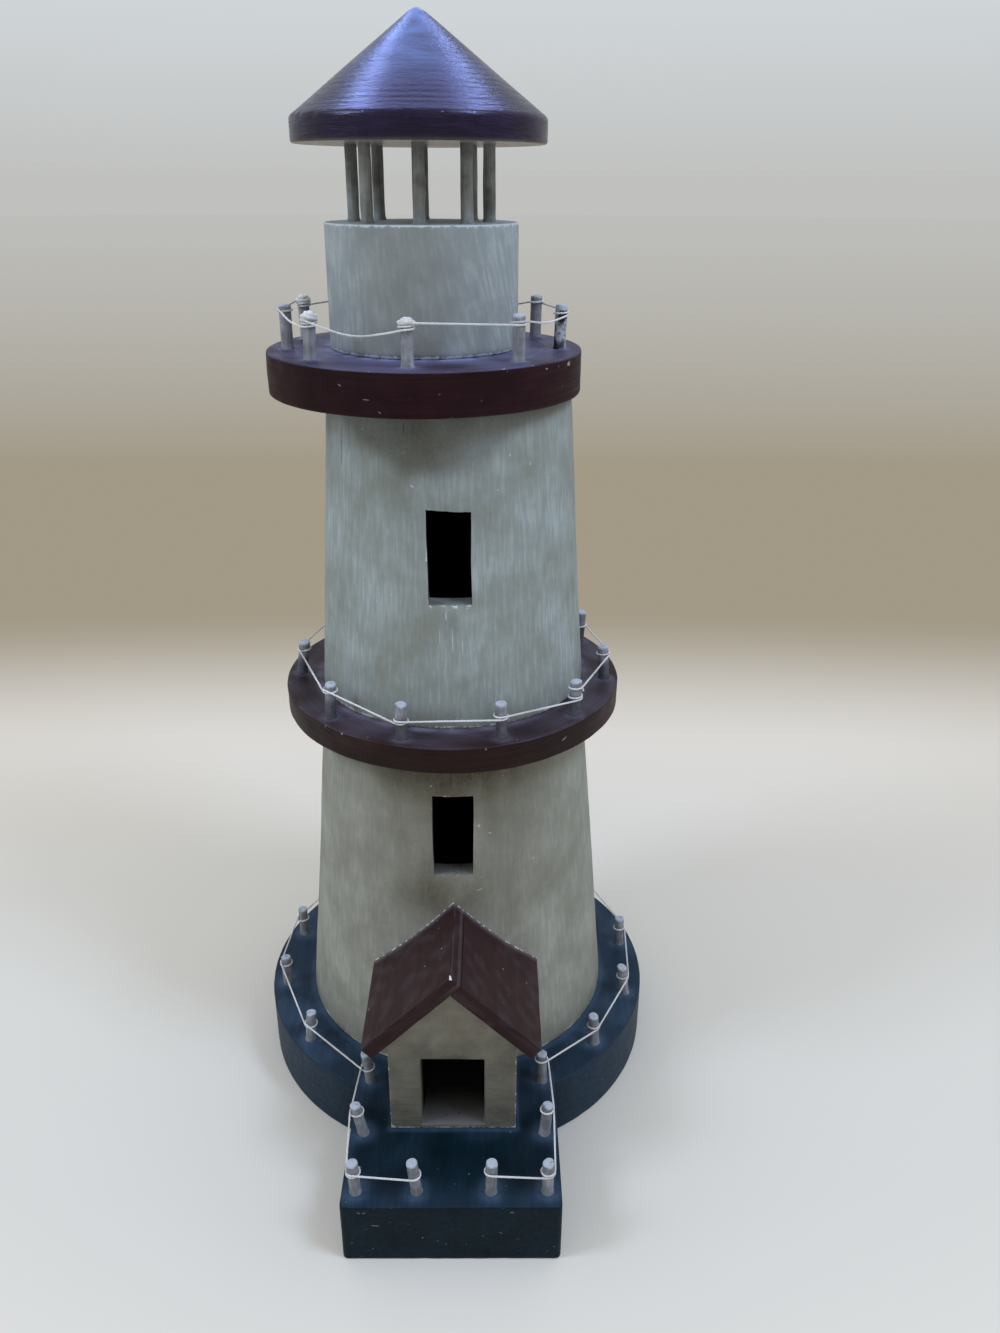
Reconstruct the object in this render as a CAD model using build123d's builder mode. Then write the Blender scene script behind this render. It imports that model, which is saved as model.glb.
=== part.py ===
from build123d import *
import math
import os

import numpy as np

os.makedirs("parts", exist_ok=True)

# Wooden lighthouse ornament, in millimetres.
# The origin is on the tower's axis at the underside of the base board, and the front looks along -Y.
# The whole top, from the upper gallery to the roof, is a loose lid that stands a little to the left.

# Base board: a disc with a porch in front
base_radius = 60.0
base_height = 18.8
base_bevel = 0.6
porch_width = 56.6
porch_reach = 93.2
porch_shift = 1.1
porch_corner = 1.6

# Tower sections: hollow, tapering, each with one window in front
tower_wall = 6.0
lower_tower_foot_radius = 46.4
lower_tower_top_radius = 37.4
lower_tower_height = 99.3
upper_tower_foot_radius = 37.0
upper_tower_top_radius = 31.5
upper_tower_height = 80.1
window_width = 11.0
window_height = 23.7
window_shift = 0.8
lower_sill_height = 63.3
upper_sill_height = 33.1

# Galleries: round boards
lower_gallery_radius = 47.3
lower_gallery_height = 7.3
upper_gallery_radius = 39.8
upper_gallery_height = 10.5
gallery_round = 0.7

# Lid: locating plug, lantern drum, lantern room and roof, on one axis beside the tower's
lid_shift = -6.0
plug_length = 8.0
plug_clearance = 1.0
drum_radius = 23.6
drum_height = 29.3
drum_bevel = 0.4
lantern_room_height = 16.9
lantern_ring_radius = 16.5
roof_radius = 30.3
roof_rim_height = 5.6
roof_cone_height = 23.0
roof_tip_radius = 3.0
roof_edge_round = 0.8

# Hut: a gabled block with a doorway pocket and two roof boards, coped to the tower
hut_width = 34.0
hut_front = 68.0
hut_shift = 0.9
ridge_height = 55.6
roof_pitch = 45.2
roof_half_span = 23.5
roof_board = 4.0
roof_overhang = 4.4
door_width = 17.0
door_top = 24.5
door_threshold = 1.4
door_depth = 18.0
door_corner = 1.2
cope_gap = 0.2

# Posts: one size of dowel, glued into blind holes
post_diameter = 3.0
post_seat = 5.0
post_fit = 0.05
post_bevel = 0.3
base_post_height = 10.3
lower_post_height = 10.0
upper_post_height = 10.8
base_post_inset = 4.7
lower_post_inset = 3.8
upper_post_inset = 5.5
porch_post_inset = 3.7
junction_inset = 2.0
gate_width = 19.1
gate_shift = 1.7

# Post places on the rings, in degrees from the front towards +X
base_ring_angles = [49.5, 75, 100.5, 126, 152, 177, 203, 229, 254, 280, 308.5]
lower_ring_angles = [49.5, 83, 119.5, 158, 196, 235, 273, 314, 344.5, 378.5]
upper_ring_angles = [165, 207, 249, 280, 312, 357, 403, 443, 483]
lantern_ring_angles = [2, 43.5, 88.5, 133.5, 182, 223.5, 268.5, 313.5]

# Sideways lean of each post as a slope, in the order in which its string reaches it
right_base_leans = [0.02, 0.01, 0.07, -0.02, -0.06, -0.12, -0.04]
left_base_leans = [0, 0, 0.08, -0.1, -0.18, -0.04, -0.1]
lower_leans = [0.03, -0.08, 0.04, 0, 0, 0, 0.16, 0.05, 0, -0.03]
upper_leans = [0, 0, -0.02, 0, 0.03, 0, 0, 0.03, 0.02]

# Strings: height above the posts' feet, whole turns round each post, and sag of the run that follows
string_diameter = 0.6
string_clearance = 0.2
turn_pitch = 1.5
string_tail = 1.5
base_string_heights = [7.2, 7, 8.4, 8, 6.5, 6.6, 6.4, 6.5, 6.8, 6.3, 6.6, 6.5, 6.3, 8, 6, 5.2, 7.8, 7.1, 6]
lower_string_heights = [8.0, 7.7, 5.2, 6.4, 6.8, 6.2, 7.8, 8.1, 5.2, 6.2, 5.4]
upper_string_heights = [9.2, 9.1, 9, 9.4, 8.3, 9.1, 8.8, 8.6, 9, 4.8]
upper_turns = [1, 1, 2, 1, 2, 2, 1, 1, 1, 1]
upper_sags = [0, 0, 0, 0.5, 1.4, 0, 0.6, 0, 0]

# Heights of the stacked pieces
lower_gallery_foot = base_height + lower_tower_height
upper_tower_foot = lower_gallery_foot + lower_gallery_height
lid_foot = upper_tower_foot + upper_tower_height
drum_foot = lid_foot + upper_gallery_height
drum_top = drum_foot + drum_height
roof_foot = drum_top + lantern_room_height
lid_axis = Axis((lid_shift, 0, 0), (0, 0, 1))


def finish(piece, label):
    """Name a finished piece and write it."""
    piece.label = label
    export_step(piece, f"parts/{label}.step")


def on_ring(centre, radius, angle, height):
    """Point on a ring, at an angle from the front towards +X."""
    turn = math.radians(angle)
    return Vector(centre + radius * math.sin(turn), -radius * math.cos(turn), height)


def post_seats(feet, leans):
    """Plane at each post's foot, with the post's own axis as its Z direction."""
    return [Plane(origin=foot, x_dir=(1, 0, 0), z_dir=(lean, 0, 1)) for foot, lean in zip(feet, leans)]


def drill_seats(seats):
    """Blind post holes, started above the surface so that a leaning hole opens fully."""
    with Locations(*[seat.offset(post_diameter) for seat in seats]):
        Hole(post_diameter / 2 + post_fit, post_seat + post_diameter)


def turn_posts(name, seats, height):
    """One dowel in each seat, with its top edge eased."""
    for number, seat in enumerate(seats, 1):
        with BuildPart(seat.offset(-post_seat)) as post:
            Cylinder(post_diameter / 2, post_seat + height, align=(Align.CENTER, Align.CENTER, Align.MIN))
            chamfer(post.faces().sort_by(Axis.Z)[-1].edges(), post_bevel)
        finish(post.part, f"{name}_{number}")


# Post feet, in the order in which each string reaches them, anticlockwise seen from above
porch_row = porch_width / 2 - porch_post_inset
front_row = -(porch_reach - porch_post_inset - post_diameter / 2)
junction_row = junction_inset - math.sqrt(base_radius**2 - (porch_width / 2) ** 2)
middle_row = (front_row + junction_row) / 2
base_ring_radius = base_radius - base_post_inset
lower_ring_radius = lower_gallery_radius - lower_post_inset
upper_ring_radius = upper_gallery_radius - upper_post_inset
right_porch_feet = [
    Vector(gate_shift + gate_width / 2, front_row, base_height),
    Vector(porch_shift + porch_row, front_row, base_height),
    Vector(porch_shift + porch_row, middle_row, base_height),
    Vector(porch_shift + porch_row, junction_row, base_height),
]
left_porch_feet = [
    Vector(porch_shift - porch_row, junction_row, base_height),
    Vector(porch_shift - porch_row, middle_row, base_height),
    Vector(porch_shift - porch_row, front_row, base_height),
    Vector(gate_shift - gate_width / 2, front_row, base_height),
]
base_ring_feet = [on_ring(0, base_ring_radius, angle, base_height) for angle in base_ring_angles]
base_feet = right_porch_feet + base_ring_feet + left_porch_feet
lower_feet = [on_ring(0, lower_ring_radius, angle, upper_tower_foot) for angle in lower_ring_angles]
upper_feet = [on_ring(lid_shift, upper_ring_radius, angle, drum_foot) for angle in upper_ring_angles]
lantern_feet = [on_ring(lid_shift, lantern_ring_radius, angle, drum_top) for angle in lantern_ring_angles]
lantern_heads = [Vector(foot.X, foot.Y, roof_foot) for foot in lantern_feet]

hidden_posts = len(base_feet) - len(right_base_leans) - len(left_base_leans)
base_leans = right_base_leans + [0] * hidden_posts + left_base_leans
base_seats = post_seats(base_feet, base_leans)
lower_seats = post_seats(lower_feet, lower_leans)
upper_seats = post_seats(upper_feet, upper_leans)
lantern_seats = [Plane(origin=foot) for foot in lantern_feet]
lantern_sockets = [Plane(origin=head, z_dir=(0, 0, -1)) for head in lantern_heads]


# Base board
with BuildPart() as base_board:
    with BuildSketch():
        Circle(base_radius)
        with Locations((porch_shift, 0)):
            Rectangle(porch_width, porch_reach, align=(Align.CENTER, Align.MAX))
    extrude(amount=base_height)
    fillet(base_board.edges().filter_by(Axis.Z).sort_by(Axis.Y)[:2], porch_corner)
    chamfer(base_board.edges().group_by(Axis.Z)[0] + base_board.edges().group_by(Axis.Z)[-1], base_bevel)
    drill_seats(base_seats)
finish(base_board.part, "base_board")
turn_posts("base_rail_post", base_seats, base_post_height)


# Tower sections
def turn_tower(label, foot, foot_radius, top_radius, height, sill):
    """Hollow tapering section with a window cut through its front wall."""
    upright = (Align.CENTER, Align.CENTER, Align.MIN)
    with BuildPart(Plane.XY.offset(foot)) as tower:
        Cone(foot_radius, top_radius, height, align=upright)
        Cone(foot_radius - tower_wall, top_radius - tower_wall, height, align=upright, mode=Mode.SUBTRACT)
        with BuildSketch(Plane(origin=(window_shift, 0, foot + sill), x_dir=(1, 0, 0), z_dir=(0, -1, 0))):
            Rectangle(window_width, window_height, align=(Align.CENTER, Align.MIN))
        extrude(amount=foot_radius, mode=Mode.SUBTRACT)
    finish(tower.part, label)


turn_tower(
    "lower_tower",
    base_height,
    lower_tower_foot_radius,
    lower_tower_top_radius,
    lower_tower_height,
    lower_sill_height,
)
turn_tower(
    "upper_tower",
    upper_tower_foot,
    upper_tower_foot_radius,
    upper_tower_top_radius,
    upper_tower_height,
    upper_sill_height,
)


# Galleries
def saw_gallery(label, centre, foot, radius, height, seats):
    """Round board with eased rims and a ring of post holes."""
    with BuildPart() as gallery:
        with BuildSketch(Plane.XY.offset(foot)):
            with Locations((centre, 0)):
                Circle(radius)
        extrude(amount=height)
        fillet(gallery.edges().filter_by(GeomType.CIRCLE), gallery_round)
        drill_seats(seats)
    finish(gallery.part, label)


saw_gallery("lower_gallery", 0, lower_gallery_foot, lower_gallery_radius, lower_gallery_height, lower_seats)
turn_posts("lower_rail_post", lower_seats, lower_post_height)
saw_gallery("upper_gallery", lid_shift, lid_foot, upper_gallery_radius, upper_gallery_height, upper_seats)
turn_posts("upper_rail_post", upper_seats, upper_post_height)


# Locating plug under the lid, loose in the tower's mouth
plug_radius = upper_tower_top_radius - tower_wall - abs(lid_shift) - plug_clearance
with BuildPart() as locating_plug:
    with BuildSketch(Plane.XY.offset(lid_foot - plug_length)):
        with Locations((lid_shift, 0)):
            Circle(plug_radius)
    extrude(amount=plug_length)
    chamfer(locating_plug.edges().group_by(Axis.Z)[0], base_bevel)
finish(locating_plug.part, "locating_plug")


# Lantern drum and posts
with BuildPart() as lantern_drum:
    with BuildSketch(Plane.XY.offset(drum_foot)):
        with Locations((lid_shift, 0)):
            Circle(drum_radius)
    extrude(amount=drum_height)
    chamfer(lantern_drum.edges().group_by(Axis.Z)[-1], drum_bevel)
    drill_seats(lantern_seats)
finish(lantern_drum.part, "lantern_drum")

for number, seat in enumerate(lantern_seats, 1):
    with BuildPart(seat.offset(-post_seat)) as lantern_post:
        Cylinder(
            post_diameter / 2,
            lantern_room_height + 2 * post_seat,
            align=(Align.CENTER, Align.CENTER, Align.MIN),
        )
    finish(lantern_post.part, f"lantern_post_{number}")


# Roof: a rim and a cone with a rounded tip, turned in one piece
roof_plane = Plane(origin=(lid_shift, 0, roof_foot), x_dir=(1, 0, 0), z_dir=(0, -1, 0))
with BuildPart() as roof_cap:
    with BuildSketch(roof_plane) as silhouette:
        Polygon(
            (-roof_radius, 0),
            (roof_radius, 0),
            (roof_radius, roof_rim_height),
            (0, roof_rim_height + roof_cone_height),
            (-roof_radius, roof_rim_height),
            align=None,
        )
        fillet(silhouette.vertices().sort_by(Axis.Y)[-1], roof_tip_radius)
        rim_corners = silhouette.vertices().group_by(Axis.X)
        fillet(rim_corners[0] + rim_corners[-1], roof_edge_round)
        split(bisect_by=Plane.YZ, keep=Keep.TOP)
    revolve(axis=lid_axis)
    drill_seats(lantern_sockets)
finish(roof_cap.part, "roof_cap")


# Hut: outlines in the plane of its front, with the roof's surfaces as lines through the ridge
pitch = math.radians(roof_pitch)
ridge = base_height + ridge_height
eave = ridge - roof_half_span * math.tan(pitch)
under_ridge = ridge - roof_board / math.cos(pitch)
wall_head = under_ridge - hut_width / 2 * math.tan(pitch)
lap = (roof_board / 2 / math.sin(pitch), ridge - roof_board / 2 / math.cos(pitch))
eave_cut = (roof_half_span - roof_board * math.sin(pitch), eave - roof_board * math.cos(pitch))


def hut_front_plane(reach):
    """Upright plane across the front, with its origin below the hut's ridge."""
    return Plane(origin=(hut_shift, -reach, 0), x_dir=(1, 0, 0), z_dir=(0, -1, 0))


def cope_to_tower():
    """Cut away the tower's outside and the glue line around it."""
    with Locations((0, 0, base_height)):
        Cone(
            lower_tower_foot_radius + cope_gap,
            lower_tower_top_radius + cope_gap,
            lower_tower_height,
            align=(Align.CENTER, Align.CENTER, Align.MIN),
            mode=Mode.SUBTRACT,
        )


with BuildPart() as hut_body:
    with BuildSketch(hut_front_plane(hut_front)):
        Polygon(
            (-hut_width / 2, base_height),
            (hut_width / 2, base_height),
            (hut_width / 2, wall_head),
            (0, under_ridge),
            (-hut_width / 2, wall_head),
            align=None,
        )
    extrude(amount=-hut_front)
    cope_to_tower()
    with BuildSketch(hut_front_plane(hut_front)) as doorway:
        with Locations((0, base_height + door_threshold)):
            Rectangle(door_width, door_top - door_threshold, align=(Align.CENTER, Align.MIN))
        fillet(doorway.vertices().group_by(Axis.Y)[-1], door_corner)
    extrude(amount=-door_depth, mode=Mode.SUBTRACT)
finish(hut_body.part, "hut_body")

with BuildPart() as hut_roof_left:
    with BuildSketch(hut_front_plane(hut_front + roof_overhang)):
        Polygon((-roof_half_span, eave), (-eave_cut[0], eave_cut[1]), lap, (0, ridge), align=None)
    extrude(amount=-hut_front - roof_overhang)
    cope_to_tower()
finish(hut_roof_left.part, "hut_roof_left")

with BuildPart() as hut_roof_right:
    with BuildSketch(hut_front_plane(hut_front + roof_overhang)):
        Polygon((roof_half_span, eave), lap, (0, under_ridge), eave_cut, align=None)
    extrude(amount=-hut_front - roof_overhang)
    cope_to_tower()
finish(hut_roof_right.part, "hut_roof_right")


# Rail strings: one unbroken string per rail, outside the posts, with whole turns round each post
winding_radius = post_diameter / 2 + string_clearance + string_diameter / 2


def string_marks(seats, heights):
    """Point on each post's axis at which its string winds."""
    return [seat.origin + seat.z_dir * (height / seat.z_dir.Z) for seat, height in zip(seats, heights)]


def outer_side(start, end):
    """Unit direction in plan from a run towards the outside, with the posts on the run's left."""
    return Vector(end.Y - start.Y, start.X - end.X, 0).normalized()


def turn_between(side_in, side_out):
    """Anticlockwise angle in degrees from one side to the next, seen from above."""
    return side_in.get_signed_angle(side_out, Vector(0, 0, 1))


def biarc(start, start_way, end, end_way):
    """Two arcs that meet smoothly, leaving start along start_way and reaching end along end_way."""
    chord = end - start
    ways = start_way + end_way
    spread = 2 * (1 - start_way.dot(end_way))
    reach = (math.sqrt(chord.dot(ways) ** 2 + spread * chord.dot(chord)) - chord.dot(ways)) / spread
    first_corner = start + start_way * reach
    last_corner = end - end_way * reach
    meeting = (first_corner + last_corner) * 0.5
    TangentArc(start, meeting, tangent=start_way)
    TangentArc(meeting, end, tangent=(last_corner - first_corner).normalized())


def wind(mark, turns, side_in, side_out, slope_in, slope_out):
    """Points and directions of a rising helix round a mark, about a quarter turn apart."""
    first = math.atan2(side_in.Y, side_in.X)
    sweep_angle = 2 * math.pi * turns + math.radians(turn_between(side_in, side_out))
    climb = turn_pitch * sweep_angle / (2 * math.pi)
    slope = turn_pitch / (2 * math.pi * winding_radius)
    steps = math.ceil(sweep_angle / (math.pi / 2))
    slopes = [slope_in] + [slope] * (steps - 1) + [slope_out]
    stations = []
    for step in range(steps + 1):
        angle = first + sweep_angle * step / steps
        arm = Vector(math.cos(angle), math.sin(angle), 0) * winding_radius
        rise = Vector(0, 0, climb * (step / steps - 0.5))
        way = Vector(-math.sin(angle), math.cos(angle), slopes[step]).normalized()
        stations.append((mark + arm + rise, way))
    return stations


def climb_of(turns, side_in, side_out):
    """Height gained by the turns round one post."""
    return turn_pitch * (turns + turn_between(side_in, side_out) / 360)


def least_self_gap(edges):
    """Least clear distance between stretches of the string more than half a turn apart."""
    points = []
    travelled = []
    for edge in edges:
        steps = math.ceil(3 * edge.length / string_diameter)
        start = travelled[-1] if travelled else 0
        points += [tuple(edge @ (step / steps)) for step in range(1, steps + 1)]
        travelled += [start + edge.length * step / steps for step in range(1, steps + 1)]
    points = np.array(points)
    travelled = np.array(travelled)
    later = np.searchsorted(travelled, travelled + math.pi * winding_radius)
    gaps = [
        np.linalg.norm(points[first:] - point, axis=1).min()
        for point, first in zip(points, later)
        if first < len(points)
    ]
    return min(gaps) - string_diameter


def lay_string(label, marks, turns, sags, first_side, last_side):
    """String from a short tail, round every mark in turn, to a short tail."""
    sides = [first_side] + [outer_side(a, b) for a, b in zip(marks, marks[1:])] + [last_side]
    climbs = [climb_of(count, a, b) for count, a, b in zip(turns, sides, sides[1:])]
    slopes = [(0, 0)]
    for here, there, rise_here, rise_there, sag in zip(marks, marks[1:], climbs, climbs[1:], sags):
        run = Vector(there.X - here.X, there.Y - here.Y, 0).length
        mean = (there.Z - rise_there / 2 - here.Z - rise_here / 2) / run
        slopes.append((mean - 4 * sag / run, mean + 4 * sag / run))
    slopes.append((0, 0))
    windings = [
        wind(mark, count, side_in, side_out, before[1], after[0])
        for mark, count, side_in, side_out, before, after in zip(
            marks, turns, sides, sides[1:], slopes, slopes[1:]
        )
    ]
    with BuildPart() as string:
        with BuildLine() as route:
            start, start_way = windings[0][0]
            Line(start - start_way * string_tail, start)
            for number, winding in enumerate(windings):
                for (near, near_way), (far, far_way) in zip(winding, winding[1:]):
                    biarc(near, near_way, far, far_way)
                if number < len(sags):
                    following = windings[number + 1][0]
                    if sags[number]:
                        biarc(*winding[-1], *following)
                    else:
                        Line(winding[-1][0], following[0])
            end, end_way = windings[-1][-1]
            Line(end, end + end_way * string_tail)
        path = route.wire()
        with BuildSketch(Plane(origin=path @ 0, z_dir=path % 0)):
            Circle(string_diameter / 2)
        sweep(path=path)
    finish(string.part, label)
    radii = [edge.radius for edge in route.edges().filter_by(GeomType.CIRCLE)]
    share = string.part.volume / (math.pi * string_diameter**2 / 4 * path.length)
    gap = least_self_gap(route.edges())
    print(label, "length", round(path.length, 1), "least gap to itself", round(gap, 2))
    print(label, "radii from", round(min(radii), 2), "to", round(max(radii), 2))
    print(label, "volume share", round(share, 4))


lower_winding_seats = lower_seats + lower_seats[:1]
upper_winding_seats = upper_seats + upper_seats[:1]
gate_side = Vector(0, 1, 0)
lay_string(
    "base_rail_string",
    string_marks(base_seats, base_string_heights),
    [1] * len(base_seats),
    [0] * (len(base_seats) - 1),
    gate_side,
    gate_side,
)
lay_string(
    "lower_rail_string",
    string_marks(lower_winding_seats, lower_string_heights),
    [1] * len(lower_winding_seats),
    [0] * len(lower_seats),
    Vector(1, 0, 0),
    Vector(0, 1, 0),
)
lay_string(
    "upper_rail_string",
    string_marks(upper_winding_seats, upper_string_heights),
    upper_turns,
    upper_sags,
    Vector(0, 1, 0),
    Vector(-1, 0, 0),
)
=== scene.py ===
# %% [markdown]
# # A wooden lighthouse ornament
# The real object is a hand-made stack of painted wood: a board for the ground, two hollow tapering tower
# sections, two round galleries, a loose top with a lantern, a small hut, dowel posts and strings for rails.
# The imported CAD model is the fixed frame. Every piece below is laid over the node that it stands for, in the
# same place and size, and adds what a hand and a brush leave behind: uneven edges, strokes, chips and dust.

# %% Load the frame
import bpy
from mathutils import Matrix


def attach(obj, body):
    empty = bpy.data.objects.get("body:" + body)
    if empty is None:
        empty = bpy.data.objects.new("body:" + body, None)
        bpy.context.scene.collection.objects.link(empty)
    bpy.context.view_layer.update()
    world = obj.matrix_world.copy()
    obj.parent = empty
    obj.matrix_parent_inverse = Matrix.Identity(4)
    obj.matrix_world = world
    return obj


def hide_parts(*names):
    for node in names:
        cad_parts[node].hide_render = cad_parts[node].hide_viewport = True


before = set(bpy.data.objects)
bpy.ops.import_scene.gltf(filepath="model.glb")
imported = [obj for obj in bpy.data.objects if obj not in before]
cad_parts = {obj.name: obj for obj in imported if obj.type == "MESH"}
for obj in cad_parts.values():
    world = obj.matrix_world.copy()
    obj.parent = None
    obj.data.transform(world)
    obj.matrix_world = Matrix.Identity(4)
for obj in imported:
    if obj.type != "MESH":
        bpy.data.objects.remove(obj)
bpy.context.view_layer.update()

import math

import bmesh
import bpy
import numpy as np
from mathutils import Matrix, Vector

MM = 0.001

# %% [markdown]
# ## Camera
# The picture was taken from slightly above, close to the object, so the tower narrows towards its foot.
# A camera could be placed by eye, but here its place, tilt and focal length come from fitting the round
# edges of the boards. The focal length is in pixels of a picture 1333 pixels high.

# %% Camera
camera_place = Vector((11.87, -281.28, 254.67)) * MM
tilt_down, turn_right, roll = (math.radians(angle) for angle in (24.51, 0.33, 0.23))
focal_pixels, picture_height, sensor_mm = 1067.75, 1333, 36.0

ahead = Vector((math.sin(turn_right), math.cos(turn_right), 0))
look = ahead * math.cos(tilt_down) - Vector((0, 0, math.sin(tilt_down)))
level = Vector((math.cos(turn_right), -math.sin(turn_right), 0))
rise = level.cross(look)
right = level * math.cos(roll) + rise * math.sin(roll)
up = rise * math.cos(roll) - level * math.sin(roll)
lens = bpy.data.cameras.new("camera")
lens.sensor_fit, lens.sensor_height = "VERTICAL", sensor_mm
lens.lens = focal_pixels / picture_height * sensor_mm
lens.clip_start = 0.01
camera = bpy.data.objects.new("camera", lens)
camera.matrix_world = Matrix.Translation(camera_place) @ Matrix((right, up, -look)).transposed().to_4x4()
bpy.context.scene.collection.objects.link(camera)
bpy.context.scene.camera = camera
print("lens in mm:", round(lens.lens, 2))

# %% [markdown]
# ## Sizes
# The pieces' sizes, repeated from the part's source in millimetres. Angles run from the front towards +X.

# %% Sizes
base_radius, base_height, base_bevel = 60.0, 18.8, 0.6
porch_width, porch_reach, porch_shift, porch_corner = 56.6, 93.2, 1.1, 1.6
tower_wall = 6.0
lower_foot_radius, lower_top_radius, lower_height = 46.4, 37.4, 99.3
upper_foot_radius, upper_top_radius, upper_height = 37.0, 31.5, 80.1
window_width, window_height, window_shift = 11.0, 23.7, 0.8
lower_sill, upper_sill = 63.3, 33.1
lower_gallery_radius, lower_gallery_height = 47.3, 7.3
upper_gallery_radius, upper_gallery_height = 39.8, 10.5
gallery_round = 0.7
lid_shift, plug_radius, plug_length = -6.0, 18.5, 8.0
drum_radius, drum_height, drum_bevel = 23.6, 29.3, 0.4
lantern_room, lantern_ring = 16.9, 16.5
roof_radius, roof_rim, roof_cone, roof_tip, roof_edge = 30.3, 5.6, 23.0, 3.0, 0.8
hut_width, hut_front, hut_shift, ridge_height = 34.0, 68.0, 0.9, 55.6
roof_pitch, half_span, board, overhang = math.radians(45.2), 23.5, 4.0, 4.4
door_width, door_top, threshold, door_depth, door_corner = 17.0, 24.5, 1.4, 18.0, 1.2
cope_gap = 0.2
post_radius, post_seat = 1.5, 5.0
base_post, lower_post, upper_post = 10.3, 10.0, 10.8
base_inset, lower_inset, upper_inset, porch_inset = 4.7, 3.8, 5.5, 3.7
junction_inset, gate_width, gate_shift = 2.0, 19.1, 1.7
string_diameter, string_tail = 0.6, 1.5

lower_gallery_foot = base_height + lower_height
upper_foot = lower_gallery_foot + lower_gallery_height
lid_foot = upper_foot + upper_height
drum_foot = lid_foot + upper_gallery_height
drum_top = drum_foot + drum_height
roof_foot = drum_top + lantern_room
levels = np.round([lower_gallery_foot, lid_foot, drum_foot, roof_foot], 1)
print("galleries, drum and roof stand at", levels, "mm")

# %% [markdown]
# ## Grids, outlines and unevenness
# Almost every piece here is a grid of points: rows along a profile and columns round an axis or an outline.
# Modelling by hand in Edit Mode would do as well, but arrays keep the sizes exact. Points that fall together,
# at a pole or where a ring closes, are merged, and then all faces are turned outwards.

# %% Grids, outlines and unevenness
MERGE_DISTANCE = 1e-7
SHARP_ANGLE = math.radians(50)
CORNER_POINTS = 6


def full_turn(columns):
    """Angles of a full turn, one for each column of a grid."""
    return np.linspace(0, 2 * np.pi, columns, endpoint=False)[None, :]


def grid_points(x, y, z):
    """Points (x, y, z) of a grid, from numbers and arrays that spread over each other."""
    return np.stack(np.broadcast_arrays(x, y, z), -1)


def grid_faces(rows, columns):
    """Quads between each row and the next, with the last column joined to the first. The corners of a quad
    are (r, c), (r, c + 1), (r + 1, c + 1) and (r + 1, c)."""
    corner = np.arange(rows * columns).reshape(rows, columns)
    beside = np.roll(corner, -1, 1)
    return np.stack([corner[:-1], beside[:-1], beside[1:], corner[1:]], -1).reshape(-1, 4)


def travel(points):
    """Distance travelled along a line of points: the running sum of its steps."""
    return np.concatenate([[0], np.cumsum(np.linalg.norm(np.diff(points, axis=0), axis=1))])


def eased(corners, ease, gap):
    """Open outline through corners: each inner corner is a quadratic curve that starts and ends `ease` away
    from it, and straight stretches get a point every `gap`."""
    corners = np.asarray(corners, float)
    share = np.linspace(0, 1, CORNER_POINTS)[:, None]
    stretches = [corners[:1]]
    for before, corner, after in zip(corners, corners[1:], corners[2:]):
        start = corner + (before - corner) * ease / np.linalg.norm(before - corner)
        end = corner + (after - corner) * ease / np.linalg.norm(after - corner)
        stretches.append((1 - share) ** 2 * start + 2 * share * (1 - share) * corner + share**2 * end)
    path = np.vstack(stretches + [corners[-1:]])
    steps = np.maximum(1, np.ceil(np.linalg.norm(np.diff(path, axis=0), axis=1) / gap)).astype(int)
    filled = [a + (b - a) * np.arange(n)[:, None] / n for a, b, n in zip(path, path[1:], steps)]
    return np.vstack(filled + [path[-1:]])


def waves(around, along, seed, turns, pitch, count=28):
    """Unevenness of about -1 to 1: a sum of cosines, each with a whole number of turns round (up to `turns`),
    a random slope along (wavelength `pitch` or longer) and a random start."""
    chance = np.random.default_rng(seed)
    whole = chance.integers(-turns, turns + 1, count)
    slope = chance.uniform(-1, 1, count) * 2 * np.pi / pitch
    start = chance.uniform(0, 2 * np.pi, count)
    around, along = np.broadcast_arrays(around, along)
    return np.cos(around[..., None] * whole + along[..., None] * slope + start).sum(-1) / math.sqrt(count)


def near(distance, reach):
    """1 at no distance, falling to nothing over about twice the reach: exp(-(distance / reach) squared)."""
    return np.exp(-((distance / reach) ** 2))


def ramp(value, start, end):
    """0 before the start, 1 past the end and a straight line in between."""
    return np.clip((value - start) / (end - start), 0, 1)


def make_piece(name, points, material, body, slot, faces=None, replaces=True, **marks):
    """Closed mesh from points in mm and faces as corner numbers, or from a grid of points. Marks are point
    attributes, one number or one vector for each point. The piece stands for the node of its own name, or
    for none."""
    if faces is None:
        faces = grid_faces(*points.shape[:2])
    used, faces = np.unique(faces, return_inverse=True)
    mesh = bpy.data.meshes.new("made_" + name)
    mesh.from_pydata(points.reshape(-1, 3)[used] * MM, [], faces.reshape(-1, 4).tolist())
    for mark, values in marks.items():
        size, kind, field = (3, "FLOAT_VECTOR", "vector") if mark == "stroke" else (1, "FLOAT", "value")
        values = np.broadcast_to(values, points.shape if size == 3 else points.shape[:-1])
        values = values.reshape(-1, size)[used].astype(float)
        mesh.attributes.new(mark, kind, "POINT").data.foreach_set(field, values.ravel())
    shell = bmesh.new()
    shell.from_mesh(mesh)
    bmesh.ops.remove_doubles(shell, verts=shell.verts, dist=MERGE_DISTANCE)
    bmesh.ops.recalc_face_normals(shell, faces=shell.faces)
    shell.to_mesh(mesh)
    shell.free()
    mesh.shade_smooth()
    mesh.set_sharp_from_angle(angle=SHARP_ANGLE)
    mesh.materials.append(material)
    piece = bpy.data.objects.new(mesh.name, mesh)
    bpy.context.scene.collection.objects.link(piece)
    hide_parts(*([name] if replaces else []))
    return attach(piece, body)


# %% [markdown]
# ## Colours and nodes
# Colours are written as sRGB hex values, as a picture editor shows them. Blender's shaders work in linear
# light, so one function converts them. One more function adds a shader node with its settings and links.

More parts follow.
